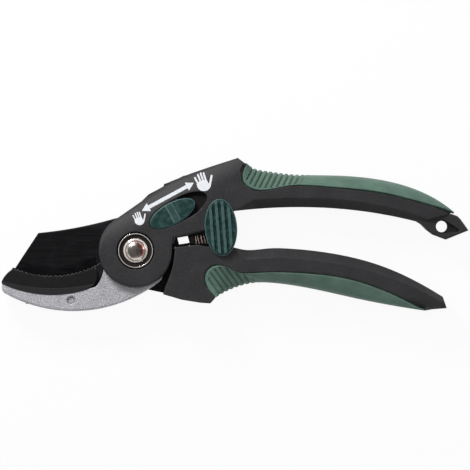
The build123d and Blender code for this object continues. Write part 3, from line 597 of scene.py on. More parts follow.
@dataclass(frozen=True)
class TealPlastic(Finish):
    """Dark teal moulded plastic of the two sliding buttons, paler where the thumb rubs it; paler ridge tops
    and rim are partly painted highlight.
    """

    ridge: Span
    oval: Oval
    pivot: Point
    band: Span | None = None
    colour: Colour = srgb(14, 46, 44)
    wear_and_highlight_tone: Colour = srgb(74, 104, 101)
    rim: float = 0.5

    def thumb_wear_and_highlight(self, s: Shader) -> Value:
        """Paleness along the button's outline, part wear and part painted highlight, and wear across its
        thumb band.

        With r the root of (u/a)^2 + (v/b)^2 and g the root of (u/a^2)^2 + (v/b^2)^2, a point lies about
        (1 - r) / g inside the ellipse, so the rim is where r - 1 + g times its width is above 0.

        Args:
            s: Shader of the material.

        Returns:
            0 on the plain skin, and more on the pale rim and band.
        """
        turn = math.radians(self.oval.angle)
        a, b = self.oval.half
        x = s.axis("X") - (self.pivot[0] + self.oval.centre[0])
        y = s.axis("Y") - (self.pivot[1] + self.oval.centre[1])
        length = x * math.cos(turn) + y * math.sin(turn)
        share_u = length * (1.0 / a)
        share_v = (y * math.cos(turn) - x * math.sin(turn)) * (1.0 / b)
        r = (share_u * share_u + share_v * share_v).math("SQRT")
        slope_u, slope_v = share_u * (1.0 / a), share_v * (1.0 / b)
        g = (slope_u * slope_u + slope_v * slope_v).math("SQRT")
        # Pale rim along the outline: part wear, part painted highlight on the lit edge.
        wear_and_highlight = (r - 1.0 + g * self.rim).smooth(0.0, 0.03) * 0.85
        if self.band is None:
            return wear_and_highlight
        low, high = self.band
        band = length.smooth(low - 0.3, low + 0.3) * length.smooth(high + 0.3, high - 0.3)
        return wear_and_highlight.math("MAXIMUM", band * 0.28)

    def paint(self, s: Shader) -> None:
        """Feed the sockets of the surface; ridges rise between two heights.

        Args:
            s: Shader of the material.
        """
        cloud = s.noise(2.2, 4.0)
        grit = s.noise(0.2, 2.0)
        # Paler ridge tops: part thumb wear, part painted highlight on the lit ridges.
        top = s.axis("Z").smooth(*self.ridge) * 0.75
        base = s.mix(cloud.smooth(0.4, 0.7) * 0.36, self.colour, self.wear_and_highlight_tone)
        base = s.mix(top * s.noise(1.5, 3.0).smooth(0.15, 0.6), base, self.wear_and_highlight_tone)
        base = s.mix(self.thumb_wear_and_highlight(s), base, self.wear_and_highlight_tone)
        s.set(Base_Color=base, Roughness=0.36 + cloud * 0.18, Specular_IOR_Level=0.3,
              Normal=s.bump(grit, 0.012, s.rounded(0.35)))


@dataclass(frozen=True)
class SpringWire(Finish):
    """Spring wire with a dull patina, copper coloured unless other colours are given; that copper is
    lightened as painted light.
    """

    # Painted light: the default copper is made pale so that the coil shows bright in the catch's shaded
    # pocket.
    colour: Colour = srgb(255, 236, 226)
    dull: Colour = srgb(226, 180, 166)

    def paint(self, s: Shader) -> None:
        """Feed the sockets of the surface.

        Args:
            s: Shader of the material.
        """
        cloud = s.noise(0.8, 3.0)
        base = s.mix(cloud.smooth(0.4, 0.75), self.colour, self.dull)
        s.set(Base_Color=base, Metallic=0.1, Roughness=0.28 + cloud * 0.2, Normal=s.bump(cloud, 0.004))


@dataclass(frozen=True)
class WhitePrint(Finish):
    """White pad print: an ink film that thins to a speckle over the moulded grain."""

    name: str = "white_print"
    colour: Colour = srgb(234, 237, 241)
    thin: Colour = srgb(186, 191, 202)

    def paint(self, s: Shader) -> None:
        """Feed the sockets of the surface.

        Args:
            s: Shader of the material.
        """
        grit = s.noise(0.42, 2.0)
        base = s.mix(grit.smooth(0.5, 0.75) * 0.7, self.colour, self.thin)
        s.set(Base_Color=base, Roughness=0.5 + grit * 0.15, Specular_IOR_Level=0.3, Normal=s.bump(grit, 0.01))


# Shapes

def smooth_line(points: Sequence[Point], count: int) -> np.ndarray:
    """Cubic spline through points, sampled evenly along its length.

    The second derivatives m at the points solve the usual three-term rows. At each end the slope is that of
    the parabola through the last three points.

    Args:
        points: Points in millimetres.
        count: Number of samples.

    Returns:
        Array of count rows of x and y.
    """
    p = np.array(points, float)
    h = np.hypot(*np.diff(p, axis=0).T)
    n = len(p)
    rows = np.eye(n)
    right = np.zeros((n, 2))
    k = np.arange(1, n - 1)
    rows[k, k - 1] = h[:-1]
    rows[k, k] = 2 * (h[:-1] + h[1:])
    rows[k, k + 1] = h[1:]
    slope = np.diff(p, axis=0) / h[:, None]
    bend = np.diff(slope, axis=0)
    right[1:-1] = 6 * bend
    rows[0, :2] = (2 * h[0], h[0])
    rows[-1, -2:] = (h[-1], 2 * h[-1])
    right[0] = 6 * bend[0] * h[0] / (h[0] + h[1])
    right[-1] = 6 * bend[-1] * h[-1] / (h[-1] + h[-2])
    m = np.linalg.solve(rows, right)
    knots = np.concatenate([[0.0], np.cumsum(h)])
    t = np.linspace(0.0, knots[-1], 40 * n)
    i = np.clip(np.searchsorted(knots, t, side="right") - 1, 0, n - 2)
    a = ((knots[i + 1] - t) / h[i])[:, None]
    b = 1 - a
    curve = ((a ** 3 - a) * m[i] + (b ** 3 - b) * m[i + 1]) * (h[i] ** 2 / 6)[:, None]
    line = a * p[i] + b * p[i + 1] + curve
    run = np.concatenate([[0.0], np.cumsum(np.hypot(*np.diff(line, axis=0).T))])
    even = np.linspace(0.0, run[-1], count)
    return np.stack([np.interp(even, run, line[:, 0]), np.interp(even, run, line[:, 1])], axis=1)


def ease(value: np.ndarray, low: float, high: float) -> np.ndarray:
    """0 below low, 1 above high, and the even S 3t^2 - 2t^3 between; low may be the larger one."""
    t = np.clip((value - low) / (high - low), 0.0, 1.0)
    return t * t * (3 - 2 * t)


def grid_quads(rows: int, columns: int, wrap: bool) -> np.ndarray:
    """Quads of a grid of points in row order.

    Args:
        rows, columns: Size of the grid.
        wrap: Whether the last column is joined to the first.

    Returns:
        Array of four corners a row.
    """
    i, j = np.meshgrid(np.arange(rows - 1), np.arange(columns if wrap else columns - 1), indexing="ij")
    after = (j + 1) % columns
    corners = [i * columns + j, i * columns + after, (i + 1) * columns + after, (i + 1) * columns + j]
    return np.stack(corners, axis=-1).reshape(-1, 4)


def place_keys(points: np.ndarray) -> np.ndarray:
    """Whole number for each place: its microns along X, Y and Z are the digits, to the base KEY_BASE.

    Args:
        points: Points in metres.

    Returns:
        One number for each point.
    """
    x, y, z = np.round(points / MICRON).astype(np.int64).T
    return (x * KEY_BASE + y) * KEY_BASE + z


@dataclass(frozen=True)
class Plan:
    """Place of the pivot's axis in the part's frame, in metres."""

    x: float
    y: float

    def to_part(self, points: np.ndarray) -> np.ndarray:
        """Metres in the part's frame of points in millimetres round the pivot."""
        return points * MM + np.array([self.x, self.y, 0.0])

    def solid(self, name: str, points: np.ndarray, faces: Sequence[Sequence[int]], sharp: float = 40.0
              ) -> bpy.types.Object:
        """Make a mesh object.

        Args:
            name: Name of the piece.
            points: Points in millimetres round the pivot.
            faces: Corners of each face.
            sharp: Angle in degrees above which an edge stays sharp.

        Returns:
            The object, smooth shaded, with its doubles merged and its faces pointing outwards.
        """
        mesh = bpy.data.meshes.new(name)
        mesh.from_pydata(self.to_part(points).tolist(), [], [list(f) for f in faces])
        work = bmesh.new()
        work.from_mesh(mesh)
        bmesh.ops.remove_doubles(work, verts=work.verts, dist=MERGE * MM)
        bmesh.ops.recalc_face_normals(work, faces=work.faces)
        work.to_mesh(mesh)
        work.free()
        mesh.shade_smooth()
        mesh.set_sharp_from_angle(angle=math.radians(sharp))
        piece = bpy.data.objects.new(name, mesh)
        bpy.context.scene.collection.objects.link(piece)
        return piece

    def prism(self, name: str, outline: np.ndarray, low: float, high: float) -> bpy.types.Object:
        """Upright solid over a plan outline.

        Args:
            name: Name of the piece.
            outline: Corners in millimetres round the pivot.
            low, high: Heights of its two flat sides.

        Returns:
            The piece.
        """
        n = len(outline)
        levels = [np.column_stack([outline, np.full(n, z)]) for z in (low, high)]
        ring = np.arange(n)
        after = (ring + 1) % n
        sides = np.stack([ring, after, after + n, ring + n], axis=1).tolist()
        return self.solid(name, np.vstack(levels), [ring[::-1].tolist(), (ring + n).tolist(), *sides])

    def wire(self, name: str, path: np.ndarray, out: np.ndarray, radius: float) -> bpy.types.Object:
        """Round wire: a circle carried along a path, with a flat cap on each end.

        Args:
            name: Name of the piece.
            path: Points of the wire's middle in millimetres round the pivot.
            out: Direction square to the path at each point, from which the circle is counted.
            radius: Half the wire's thickness.

        Returns:
            The piece.
        """
        forward = np.gradient(path, axis=0)
        forward /= np.linalg.norm(forward, axis=1, keepdims=True)
        binormal = np.cross(forward, out)
        turn = np.linspace(0.0, 2 * math.pi, WIRE_SIDES + 1)[None, :-1, None]
        ring = out[:, None, :] * np.cos(turn) + binormal[:, None, :] * np.sin(turn)
        points = (path[:, None, :] + ring * radius).reshape(-1, 3)
        faces = grid_quads(len(path), WIRE_SIDES, True).tolist()
        last = (len(path) - 1) * WIRE_SIDES
        caps = [list(range(WIRE_SIDES)), list(range(last, last + WIRE_SIDES))]
        return self.solid(name, points, faces + caps, sharp=50.0)


def wear(piece: bpy.types.Object, material: bpy.types.Material) -> None:
    """Give a piece one material."""
    piece.data.materials.clear()
    piece.data.materials.append(material)


# Sub-assemblies

@dataclass
class Grip:
    """Soft grip over the outer side of one handle: a shell with a C section round the handle's core.

    Plan lines run from the lobe beside the head to the tip: outer is the free edge and seam the groove along
    the black handle. Ribs are grooves at one angle that start on the outer edge and stop short of the seam.
    """

    name: str
    node: str
    body: str
    outer: Sequence[Point]
    seam: Sequence[Point]
    rib_angle: float
    rib_first: float
    rib_pitch: float
    rib_count: int
    rows: int = 440
    lift: float = 0.25
    gap: float = 0.75
    slope: float = 5.0
    round_outer: float = 3.0
    round_seam: float = 0.7
    wall_seam: float = 2.6
    core: float = 5.0
    skin: float = 2.4
    rib_depth: float = 0.7
    rib_half: float = 0.4
    rib_stop: Span = (0.9, 1.9)
    tuck: float = 0.35
    taper_from: float = 82.0
    taper_end: float = 146.0
    taper: float = 2.8
    back: float = 0.05
    seam_steps: int = 9
    face_steps: int = 44
    edge_steps: int = 21
    side_steps: int = 26
    lining: int = 6

    def low_side(self, x: np.ndarray) -> np.ndarray:
        """Height of the handle's back: flat, then rising with the square of the way to its end."""
        return self.taper * np.clip((x - self.taper_from) / (self.taper_end - self.taper_from), 0.0, 1.0) ** 2

    def section(self, width: np.ndarray, depth: np.ndarray, inset: np.ndarray
                ) -> tuple[np.ndarray, np.ndarray]:
        """Closed C section for every row.

        Each point is a distance from the seam and a drop from the front: seam wall, seam edge as a quarter
        circle, front face, outer edge as a larger quarter circle, outer wall, and the same back again; then
        the lining, whose lips tuck under the handle's edge. The front also falls away, by the slope times the
        power 1.2 of the share of the way from seam to outer edge.

        Args:
            width: Plan distance from the skin's edge at the seam to the outer edge of each row.
            depth: Thickness of the handle at each row.
            inset: Width of the seam's groove at each row.

        Returns:
            Distances and drops, one row of the loop for each row of the grip.
        """
        small = np.minimum(self.round_seam, 0.25 * width)[:, None]
        large = np.minimum(self.round_outer, 0.55 * width)[:, None]
        w = width[:, None]
        d = depth[:, None]
        turn = np.linspace(0.0, math.pi / 2, self.seam_steps)[None, :]
        wide = np.linspace(0.0, math.pi / 2, self.edge_steps)[None, 1:]
        across = np.linspace(0.0, 1.0, self.face_steps)[None, 1:]
        down = np.linspace(0.0, 1.0, self.side_steps)[None, 1:-1]
        zero = np.zeros_like(w)
        run = np.hstack([zero, small * (1 - np.cos(turn)), small + (w - large - small) * across,
                         w - large * (1 - np.sin(wide))])
        flat = np.hstack([zero + self.wall_seam, small * (1 - np.sin(turn)), zero + 0 * across,
                          large * (1 - np.cos(wide))])
        fall = np.minimum(self.slope, 0.45 * w)
        drop = flat + fall * (run / w) ** 1.2
        side_run = w + 0 * down
        shoulder = large + fall
        side_drop = shoulder + (d - 2 * shoulder) * down
        core_run = np.maximum(w - self.skin, 0.3 * w)
        core_drop = np.minimum(self.core, 0.4 * d)
        lip = -(inset + self.tuck)[:, None]
        wall = zero + self.wall_seam
        inner_run = np.hstack([lip, lip, core_run, core_run, lip, lip])
        inner_drop = np.hstack([d - wall, d - core_drop, d - core_drop, core_drop, core_drop, wall])
        runs = np.hstack([run, side_run, run[:, ::-1], inner_run])
        drops = np.hstack([drop, side_drop, d - drop[:, ::-1], inner_drop])
        return runs, drops

    def groove(self, plan: np.ndarray, from_seam: np.ndarray, outer: np.ndarray) -> np.ndarray:
        """Depth share of the rib grooves.

        A groove is a bell across straight lines at the rib angle. The first line meets the outer edge at
        rib_first, and the others follow at even steps square to it. A groove ends near the seam, and the last
        ones fade.

        Args:
            plan: Plan points.
            from_seam: Distance of each point from the seam.
            outer: Points of the outer edge.

        Returns:
            0 on the skin to 1 in the middle of a groove.
        """
        angle = math.radians(self.rib_angle)
        across = np.array([math.sin(angle), -math.cos(angle)])
        across *= np.sign(across[0])
        order = np.argsort(outer[:, 0])
        level = np.interp(self.rib_first, outer[order, 0], outer[order, 1])
        number = np.arange(self.rib_count)
        lines = self.rib_first * across[0] + level * across[1] + self.rib_pitch * number
        away = (plan @ across)[..., None] - lines
        strength = ease(number[::-1], -1.0, 1.6)
        bells = np.exp(-(away / self.rib_half) ** 2) * strength
        return bells.max(axis=-1) * ease(from_seam, *self.rib_stop)

    def build(self, plan: Plan, material: bpy.types.Material) -> bpy.types.Object:
        """Make the grip in place of its plain solid.

        Args:
            plan: Place of the pivot.
            material: Finish.

        Returns:
            The piece.
        """
        outer = smooth_line(self.outer, self.rows)
        seam = smooth_line(self.seam, self.rows)
        reach = outer - seam
        width = np.hypot(*reach.T)
        toward = reach / np.maximum(width, 1e-6)[:, None]
        inset = np.minimum(self.gap, 0.4 * width)
        seam = seam + toward * inset[:, None]
        width = np.maximum(width - inset, 0.02)
        low = self.low_side(outer[:, 0])
        depth = FRONT + self.lift - self.back - 2 * low
        runs, drops = self.section(width, depth, inset)
        flat = seam[:, None, :] + toward[:, None, :] * runs[..., None]
        top = (FRONT + self.lift - low)[:, None]
        points = np.concatenate([flat, (top - drops)[..., None]], axis=-1)
        along = np.gradient(points, axis=0)
        around = np.roll(points, -1, axis=1) - np.roll(points, 1, axis=1)
        normal = np.cross(along, around)
        normal /= np.maximum(np.linalg.norm(normal, axis=-1, keepdims=True), 1e-9)
        middle = points.mean(axis=1, keepdims=True)
        normal *= np.sign(((points - middle) * normal).sum())
        groove = self.groove(flat, runs, outer)
        groove[:, -self.lining:] = 0.0
        points = points - normal * (groove * self.rib_depth)[..., None]
        points[..., 2] = np.maximum(points[..., 2], self.back)
        rows, columns = groove.shape
        piece = plan.solid(self.name, points.reshape(-1, 3), grid_quads(rows, columns, True), sharp=55.0)
        self.mark(piece, plan, points, groove)
        wear(piece, material)
        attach(piece, self.body)
        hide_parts(self.node)
        return piece

    def mark(self, piece: bpy.types.Object, plan: Plan, points: np.ndarray, groove: np.ndarray) -> None:
        """Keep the groove share of each vertex, found by its place because doubles were merged.

        The places are sorted by their keys, and each vertex takes the last one that has its key.

        Args:
            piece: The grip.
            plan: Place of the pivot.
            points: Points that it was made from.
            groove: Groove share of each of them.
        """
        spots = np.zeros(len(piece.data.vertices) * 3)
        piece.data.vertices.foreach_get("co", spots)
        wanted = place_keys(spots.reshape(-1, 3))
        keys = place_keys(plan.to_part(points.reshape(-1, 3)))
        order = np.argsort(keys, kind="stable")
        last = np.searchsorted(keys[order], wanted, side="right") - 1
        source = order[np.maximum(last, 0)]
        share = np.where(keys[source] == wanted, groove.ravel()[source], 0.0)
        layer = piece.data.attributes.new("groove", "FLOAT", "POINT")
        layer.data.foreach_set("value", share)


UPPER_GRIP = Grip(
    "upper_grip_skin", "upper_grip", "upper_arm",
    outer=[(48.4, 38.3), (51.3, 36.2), (57.0, 34.9), (64.6, 33.8), (87.9, 32.8), (111.3, 30.1), (131.3, 22.5),
           (139.2, 16.8)],
    seam=[(48.4, 38.3), (46.9, 35.6), (46.2, 33.0), (46.4, 30.2), (49.5, 27.0), (55.9, 26.0), (65.3, 27.8),
          (81.3, 27.6), (108.0, 24.6), (131.3, 18.6), (139.2, 16.5)],
    rib_angle=63.0, rib_first=51.4, rib_pitch=2.17, rib_count=11)
LOWER_GRIP = Grip(
    "lower_grip_skin", "lower_grip", "lower_arm",
    outer=[(34.9, -20.6), (42.5, -16.7), (52.6, -14.1), (61.2, -14.3), (81.3, -17.6), (94.7, -20.6),
           (108.0, -23.3), (126.6, -26.3)],
    seam=[(34.9, -20.6), (32.6, -18.5), (30.4, -14.9), (29.8, -11.3), (31.3, -8.0), (35.3, -6.1),
          (39.6, -7.1), (44.6, -9.5), (51.3, -9.6), (71.3, -9.4), (91.3, -11.6), (111.3, -18.2),
          (126.6, -26.2)],
    rib_angle=-54.0, rib_first=37.0, rib_pitch=2.25, rib_count=8, rib_depth=0.5)


@dataclass
class CatchCoil:
    """Coil spring on the catch's stem."""

    start: Point = (26.2, 4.62)
    end: Point = (31.5, 5.01)
    height: float = 8.8
    radius: float = 1.75
    wire: float = 0.28
    turns: float = 4.6
    steps: int = 260
    joint: str = "catch_slide"
    keep: float = 0.43

    def build(self, plan: Plan, material: bpy.types.Material) -> bpy.types.Object:
        """Sweep a circle along a helix: the angle grows evenly along the axis, and the ends lie flat.

        Args:
            plan: Place of the pivot.
            material: Finish.

        Returns:
            The piece.
        """
        axis = np.array([self.end[0] - self.start[0], self.end[1] - self.start[1], 0.0])
        length = np.linalg.norm(axis)
        axis /= length
        side = np.array([-axis[1], axis[0], 0.0])
        up = np.array([0.0, 0.0, 1.0])
        t = np.linspace(0.0, 1.0, self.steps)
        angle = 2 * math.pi * self.turns * t
        advance = ease(t, -0.12, 1.12)
        advance = (advance - advance[0]) / (advance[-1] - advance[0])
        out = np.cos(angle)[:, None] * side + np.sin(angle)[:, None] * up
        centre = np.array([*self.start, self.height]) + np.outer(advance * length, axis) + out * self.radius
        piece = plan.wire("catch_coil", centre, out, self.wire)
        wear(piece, material)
        anchor = plan.to_part(np.array([*self.end, self.height]))
        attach(piece, "upper_arm")
        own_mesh(piece)
        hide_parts("catch_spring")
        return piece


@dataclass
class HingeSpring:
    """Torsion spring that opens the shears: foot in the blade, turns round the pivot, leg in the jaw."""

    radius: float = 10.3
    wire: float = 0.55
    foot: float = 8.4
    low: float = 10.45
    high: float = 12.85
    turns: int = 2
    leg: float = 3.3
    bend: float = 0.7
    straight: int = 4
    arc: int = 9
    steps: int = 160

    def path(self) -> np.ndarray:
        """Middle of the wire.

        The foot rises upright and bends by a quarter circle into a helix whose height grows evenly with its
        angle. A second quarter circle turns it outwards into the leg.

        Returns:
            Points in millimetres round the pivot.
        """
        r, c, few = self.radius, self.bend, self.straight
        quarter = np.linspace(0.0, math.pi / 2, self.arc)
        early, late = c * (np.sin(quarter) - 1), c * (1 - np.cos(quarter))
        rise = np.linspace(self.foot, self.low - c, few + 1)[:-1]
        angle = np.linspace(c / r, 2 * math.pi * self.turns - c / r, self.steps)[1:-1]
        climb = np.linspace(self.low, self.high, len(angle))
        away = np.linspace(r + c, r + self.leg, few + 1)[1:]
        x = np.concatenate([np.full(few + self.arc, r), r * np.cos(angle), r + late, away])
        y = np.concatenate([np.zeros(few), late, r * np.sin(angle), early, np.zeros(few)])
        z = np.concatenate([rise, self.low + early, climb, np.full(self.arc + few, self.high)])
        return np.stack([x, y, z], axis=1)

    def build(self, plan: Plan, material: bpy.types.Material) -> bpy.types.Object:
        """Make the wire round the pivot in place of the plain spring.

        Args:
            plan: Place of the pivot.
            material: Finish.

        Returns:
            The piece.
        """
        path = self.path()
        ahead = np.gradient(path, axis=0)
        level = np.hypot(ahead[:, 0], ahead[:, 1])
        flat = np.stack([ahead[:, 1], -ahead[:, 0], np.zeros(len(path))], axis=1)
        flat /= np.maximum(level, 1e-6)[:, None]
        out = np.where(level[:, None] > 1e-4, flat, np.array([1.0, 0.0, 0.0]))
        piece = plan.wire("hinge_spring", path, out, self.wire)
        wear(piece, material)
        ends = plan.to_part(np.array([(0.0, 0.0, self.low + self.wire), (0.0, 0.0, self.high - self.wire)]))
        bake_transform(piece)
        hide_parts("main_spring")
        return piece


@dataclass
class CrotchGuard:
    """Two thin black guards behind the crotch, which leave a slanted window between them.

    The web joins the rear cover and stays above the lower handle. The lip stands on the lower handle's edge,
    a layer further forward, and turns with it.
    """

    web: Sequence[Point] = (
        (15.8, 5.3), (15.85, -0.8), (16.95, -0.8), (17.0, 1.3), (17.25, 1.55), (18.9, 1.73), (18.9, 2.66),
        (18.12, 5.5), (22.66, 6.33), (23.45, 3.41), (23.1, 3.3), (23.05, 2.14), (24.3, 2.28), (24.3, 7.1))
    web_low: float = 0.9
    web_high: float = 3.2
    lip: Sequence[Point] = ((17.25, 1.2), (23.2, 1.8), (23.2, 3.37), (18.9, 2.66), (17.4, 2.5))
    lip_low: float = 3.7
    lip_high: float = 5.9

    def build(self, plan: Plan, material: bpy.types.Material) -> list[bpy.types.Object]:
        """Raise both outlines between their heights.

        Args:
            plan: Place of the pivot.
            material: Finish.

        Returns:
            The pieces.
        """
        web = plan.prism("crotch_web", np.array(self.web), self.web_low, self.web_high)
        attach(web, "upper_arm")
        lip = plan.prism("crotch_lip", np.array(self.lip), self.lip_low, self.lip_high)
        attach(lip, "lower_arm")
        for piece in (web, lip):
            wear(piece, material)
        return [web, lip]


class Finger(Enum):
    """Fingers of the printed hand: root, tip and half width, in hundredths of the hand's height."""

    LITTLE = (-33.0, 8.0, -47.0, 34.0, 4.9)
    RING = (-18.5, 17.0, -31.5, 49.0, 4.9)
    MIDDLE = (-5.0, 21.0, -17.0, 57.0, 4.9)
    FORE = (9.0, 22.0, -2.0, 58.0, 4.9)
    THUMB = (31.5, 2.0, 39.5, 44.0, 5.4)


@dataclass
class HandSizePrint:
    """White print on the head: a small and a large open hand and a double arrow between them."""

    low: float = FRONT - 0.05
    high: float = FRONT + 0.04
    small_at: Point = (1.8, 13.2)
    small: float = 6.0
    large_at: Point = (29.9, 28.9)
    large: float = 8.4
    arrow_from: Point = (2.75, 17.3)
    arrow_to: Point = (25.5, 29.6)
    shaft: float = 0.78
    head: Point = (3.5, 1.95)

    def hand(self) -> np.ndarray:
        """Outline of an open hand about its palm, one unit high.

        Every finger is a bar with a half round tip, and the palm's foot is half an ellipse.

        Returns:
            Points of the outline, clockwise.
        """
        lines = []
        for finger in Finger:
            x0, y0, x1, y1, half = finger.value
            root, tip = np.array([x0, y0]), np.array([x1, y1])
            ahead = (tip - root) / np.linalg.norm(tip - root)
            left = np.array([-ahead[1], ahead[0]])
            turn = np.linspace(0.0, math.pi, 11)[:, None]
            arc = tip + half * (np.cos(turn) * left + np.sin(turn) * ahead)
            lines.append(np.vstack([root + left * half, arc, root - left * half]))
        foot = np.linspace(0.0, -math.pi, 25)
        palm = np.stack([-0.5 + 37.0 * np.cos(foot), 1.0 + 36.0 * np.sin(foot)], axis=1)
        return np.vstack([*lines, palm]) / 100.0

    def arrow(self) -> np.ndarray:
        """Outline of the double arrow between its two points: a bar with a triangle on each end.

        Returns:
            Corners of the outline, clockwise.
        """
        start, end = np.array(self.arrow_from), np.array(self.arrow_to)
        length = np.linalg.norm(end - start)
        ahead = (end - start) / length
        left = np.array([-ahead[1], ahead[0]])
        long, half = self.head
        neck = self.shaft
        far = length - long
        corners = [(0, 0), (long, half), (long, neck), (far, neck), (far, half), (length, 0),
                   (far, -half), (far, -neck), (long, -neck), (long, -half)]
        return np.array([start + a * ahead + b * left for a, b in corners])

    def build(self, plan: Plan, material: bpy.types.Material) -> list[bpy.types.Object]:
        """Print the three marks on the head's front.

        Args:
            plan: Place of the pivot.
            material: Finish.

        Returns:
            The pieces.
        """
        marks = {
            "print_small_hand": self.hand() * self.small + np.array(self.small_at),
            "print_large_hand": self.hand() * self.large + np.array(self.large_at),
            "print_double_arrow": self.arrow(),
        }
        pieces = []
        for name, outline in marks.items():
            piece = plan.prism(name, outline, self.low, self.high)
            wear(piece, material)
            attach(piece, "upper_arm")
            pieces.append(piece)
        return pieces


@dataclass(frozen=True)
class Lamp:
    """Round softbox that points at the shears: centre and diameter in metres, power in watts.

    A lamp that doesn't show lights the shears but isn't mirrored in them.
    """

    name: str
    place: Triple
    size: float
    power: float
    shows: bool = True

    def build(self) -> None:
        """Hang the lamp and turn it towards the origin."""
        light = bpy.data.lights.new(self.name, "AREA")
        light.shape = "DISK"
        light.size = self.size
        light.energy = self.power
        lamp = bpy.data.objects.new(self.name, light)
        lamp.location = self.place
        lamp.visible_glossy = self.shows
        x, y, z = self.place
        lamp.rotation_euler = (math.atan2(math.hypot(x, y), z), 0.0, math.atan2(x, -y))
        bpy.context.scene.collection.objects.link(lamp)


@dataclass
class Studio:
    """Pale floor, soft light from above the picture and a camera that looks straight down at the shears."""

    view_width: float = 0.2052
    view_centre: Point = (0.0, -0.0002)
    distance: float = 2.6
    sensor: float = 36.0
    floor_half: float = 3.0
    floor_drop: float = 0.05
    floor_shade: float = 0.9
    floor_emission: float = 0.93
    zenith: float = 0.10
    horizon: float = 0.95
    band: Span = (0.25, 0.55)
    lamps: Sequence[Lamp] = (
        Lamp("key_softbox", (-0.24, 0.34, 0.31), 0.20, 2.2),
        Lamp("side_card", (0.60, 0.22, 0.18), 0.35, 0.9),
        Lamp("overhead_fill", (-0.05, 0.0, 1.10), 0.70, 3.4, shows=False),
        Lamp("bounce_card", (0.10, -0.90, 0.45), 0.90, 0.4))

    def build(self) -> None:
        """Make the floor, world, lamps and camera."""
        self.floor()
        self.world()
        for lamp in self.lamps:
            lamp.build()
        self.camera()

    def floor(self) -> None:
        """White floor that shows the camera and reflections a white ground and keeps a soft shadow."""
        corners = np.array([(-1, -1), (1, -1), (1, 1), (-1, 1)], float) * self.floor_half
        mesh = bpy.data.meshes.new("floor")
        points = np.column_stack([corners, np.full(4, -self.floor_drop * MM)])
        mesh.from_pydata(points.tolist(), [], [[0, 1, 2, 3]])
        floor = bpy.data.objects.new("floor", mesh)
        bpy.context.scene.collection.objects.link(floor)
        s = Shader("floor")
        s.set(Base_Color=(*[self.floor_shade] * 3, 1.0), Roughness=0.9, Specular_IOR_Level=0.0)
        camera, glossy, through = (s.node("ShaderNodeLightPath", output=f"Is {kind} Ray")
                                   for kind in ("Camera", "Glossy", "Transmission"))
        share = camera.math("MAXIMUM", glossy).math("MAXIMUM", through) * self.floor_emission
        glow = s.node("ShaderNodeEmission", None, {"Color": (1.0, 1.0, 1.0, 1.0), "Strength": 1.0})
        s.show(s.node("ShaderNodeMixShader", None, {0: share, 1: s.surface, 2: glow}))
        wear(floor, s.material)

    def world(self) -> None:
        """White round the camera; for light and reflections bright at the horizon and greyer overhead."""
        world = bpy.data.worlds.new("studio")
        n = Nodes(world, "ShaderNodeOutputWorld")
        spot = n.node("ShaderNodeTexCoord", output="Object")
        height = n.node("ShaderNodeSeparateXYZ", None, {0: spot}, "Z")
        ramp = (height, *self.band, self.horizon, self.zenith)
        fade = n.node("ShaderNodeMapRange", None, dict(enumerate(ramp)))
        seen = n.node("ShaderNodeLightPath", output="Is Camera Ray")
        strength = n.node("ShaderNodeMix", None, {0: seen, 2: fade, 3: 1.0})
        n.show(n.node("ShaderNodeBackground", None, {"Strength": strength}))
        bpy.context.scene.world = world

    def camera(self) -> None:
        """Long lens straight above, with +Y up in the picture."""
        data = bpy.data.cameras.new("camera")
        data.sensor_width = self.sensor
        data.lens = self.sensor * self.distance / self.view_width
        data.clip_end = 20.0
        camera = bpy.data.objects.new("camera", data)
        camera.location = (*self.view_centre, self.distance + FRONT * MM)
        bpy.context.scene.collection.objects.link(camera)
        bpy.context.scene.camera = camera
        bpy.context.scene.view_settings.view_transform = "Standard"


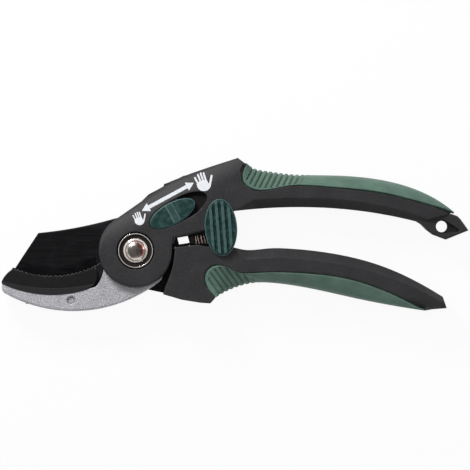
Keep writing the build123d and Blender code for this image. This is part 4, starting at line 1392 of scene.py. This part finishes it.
@dataclass
class Dressing:
    """Finishes of the carried nodes, with the places round the pivot that their patterns start from.

    The brow is the upper left part of the head's front, which rolls away from a line at a slant. The well is
    the adjuster's recess. The tail is the end of the jaw inside the head.
    """

    brow_slant: float = 118.5
    brow_start: float = 7.0
    brow_hollow: float = 0.056
    well_reach: float = 45.0
    well_floor: float = 16.0
    well_brim: float = FRONT - 0.3
    tail_from: float = 15.0
    tooth_low: Point = (-36.0, -11.0)
    adjuster: Oval = Oval((16.15, 16.2), 28.5, (11.0, 4.8))
    adjuster_ridge: Span = (18.45, 18.8)
    adjuster_band: Span = (-1.4, 1.4)
    catch: Oval = Oval((37.3, 10.1), 4.3, (7.1, 12.5))
    catch_ridge: Span = (20.2, 20.8)

    def finishes(self, pivot: Point, nylon: bpy.types.Material) -> dict[str, bpy.types.Material]:
        """Finish of each node that isn't plain steel.

        Args:
            pivot: Place of the pivot in millimetres of the part's frame.
            nylon: Finish of the plain black mouldings.

        Returns:
            Materials by the node's name.
        """
        x, y = pivot
        lean = math.radians(self.brow_slant)
        brow = x * math.cos(lean) + y * math.sin(lean) + self.brow_start
        # The head's nylon carries painted shade in the adjuster's recess.
        head = MouldedNylon("head_nylon", well=(x + self.well_reach, self.well_floor, self.well_brim),
                            roll=(self.brow_slant, brow, self.brow_hollow))
        # The jaw's tail inside the head gets painted shade.
        casting = BlastedCasting(tail_from=y + self.tail_from).material()
        pad = SandyPad(tooth_low=(x + self.tooth_low[0], y + self.tooth_low[1]))
        # The dome's white rim and brown side are painted reflections.
        dome = Plating("bright_dome", srgb(245, 236, 228), srgb(120, 98, 86), pivot, dish=(4.2, 4.4), rim=4.5,
                       rim_white_reflection=0.6, roughness=0.18, smudge=0.7, edge=0.9, brown_reflection_from=0.4)
        washer = Plating("bright_washer", srgb(255, 252, 248), srgb(60, 51, 46), pivot, dish=(5.0, 7.1),
                         rim=7.15, rim_white_reflection=0.35, roughness=0.16, smudge=0.1)
        adjuster = TealPlastic("teal_adjuster", self.adjuster_ridge, self.adjuster, pivot, self.adjuster_band)
        catch = TealPlastic("teal_catch", self.catch_ridge, self.catch, pivot, colour=srgb(14, 44, 44))
        return {
            "upper_handle": head.material(),
            "lower_handle": nylon,
            "rear_cover": nylon,
            "catch_stem": nylon,
            "anvil_jaw": casting,
            "pad_pin": casting,
            "anvil_pad": pad.material(),
            "blade": CoatedBlade().material(),
            "pivot_bolt": dome.material(),
            "pivot_cup_washer": washer.material(),
            "adjuster_button": adjuster.material(),
            "catch_button": catch.material(),
        }

    def build(self, frame: dict[str, Any], pivot: Point, nylon: bpy.types.Material) -> None:
        """Give every carried node its finish.

        Args:
            pivot: Place of the pivot in millimetres of the part's frame.
            nylon: Finish of the plain black mouldings.
        """
        steel = PlainSteel().material()
        finish = self.finishes(pivot, nylon)
        for name, node in frame["nodes"].items():
            wear(node, finish.get(name, steel))
            log.info("dressed %s", name)


def main() -> None:
    """Load the part, dress it, add its pieces and light it."""
    logging.basicConfig(level=logging.INFO, format="%(name)s: %(message)s")
    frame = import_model()
    hinge = next(j for j in frame["joints"] if j["name"] == "handle_hinge")
    plan = Plan(hinge["pos_m"][0], hinge["pos_m"][1])
    nylon = MouldedNylon().material()
    Dressing().build(frame, (plan.x / MM, plan.y / MM), nylon)
    rubber = SoftGrip().material()
    pieces = [grip.build(plan, rubber) for grip in (UPPER_GRIP, LOWER_GRIP)]
    # The catch coil's pale copper is painted light for its shaded pocket.
    pieces.append(CatchCoil().build(plan, SpringWire("catch_coil_wire").material()))
    inner = SpringWire("inner_spring", srgb(150, 150, 150), srgb(100, 98, 96))
    pieces.append(HingeSpring().build(plan, inner.material()))
    pieces += CrotchGuard().build(plan, nylon)
    pieces += HandSizePrint().build(plan, WhitePrint().material())
    for piece in pieces:
        log.info("made %s", piece.name)
    Studio().build()


if __name__ == "__main__":
    main()
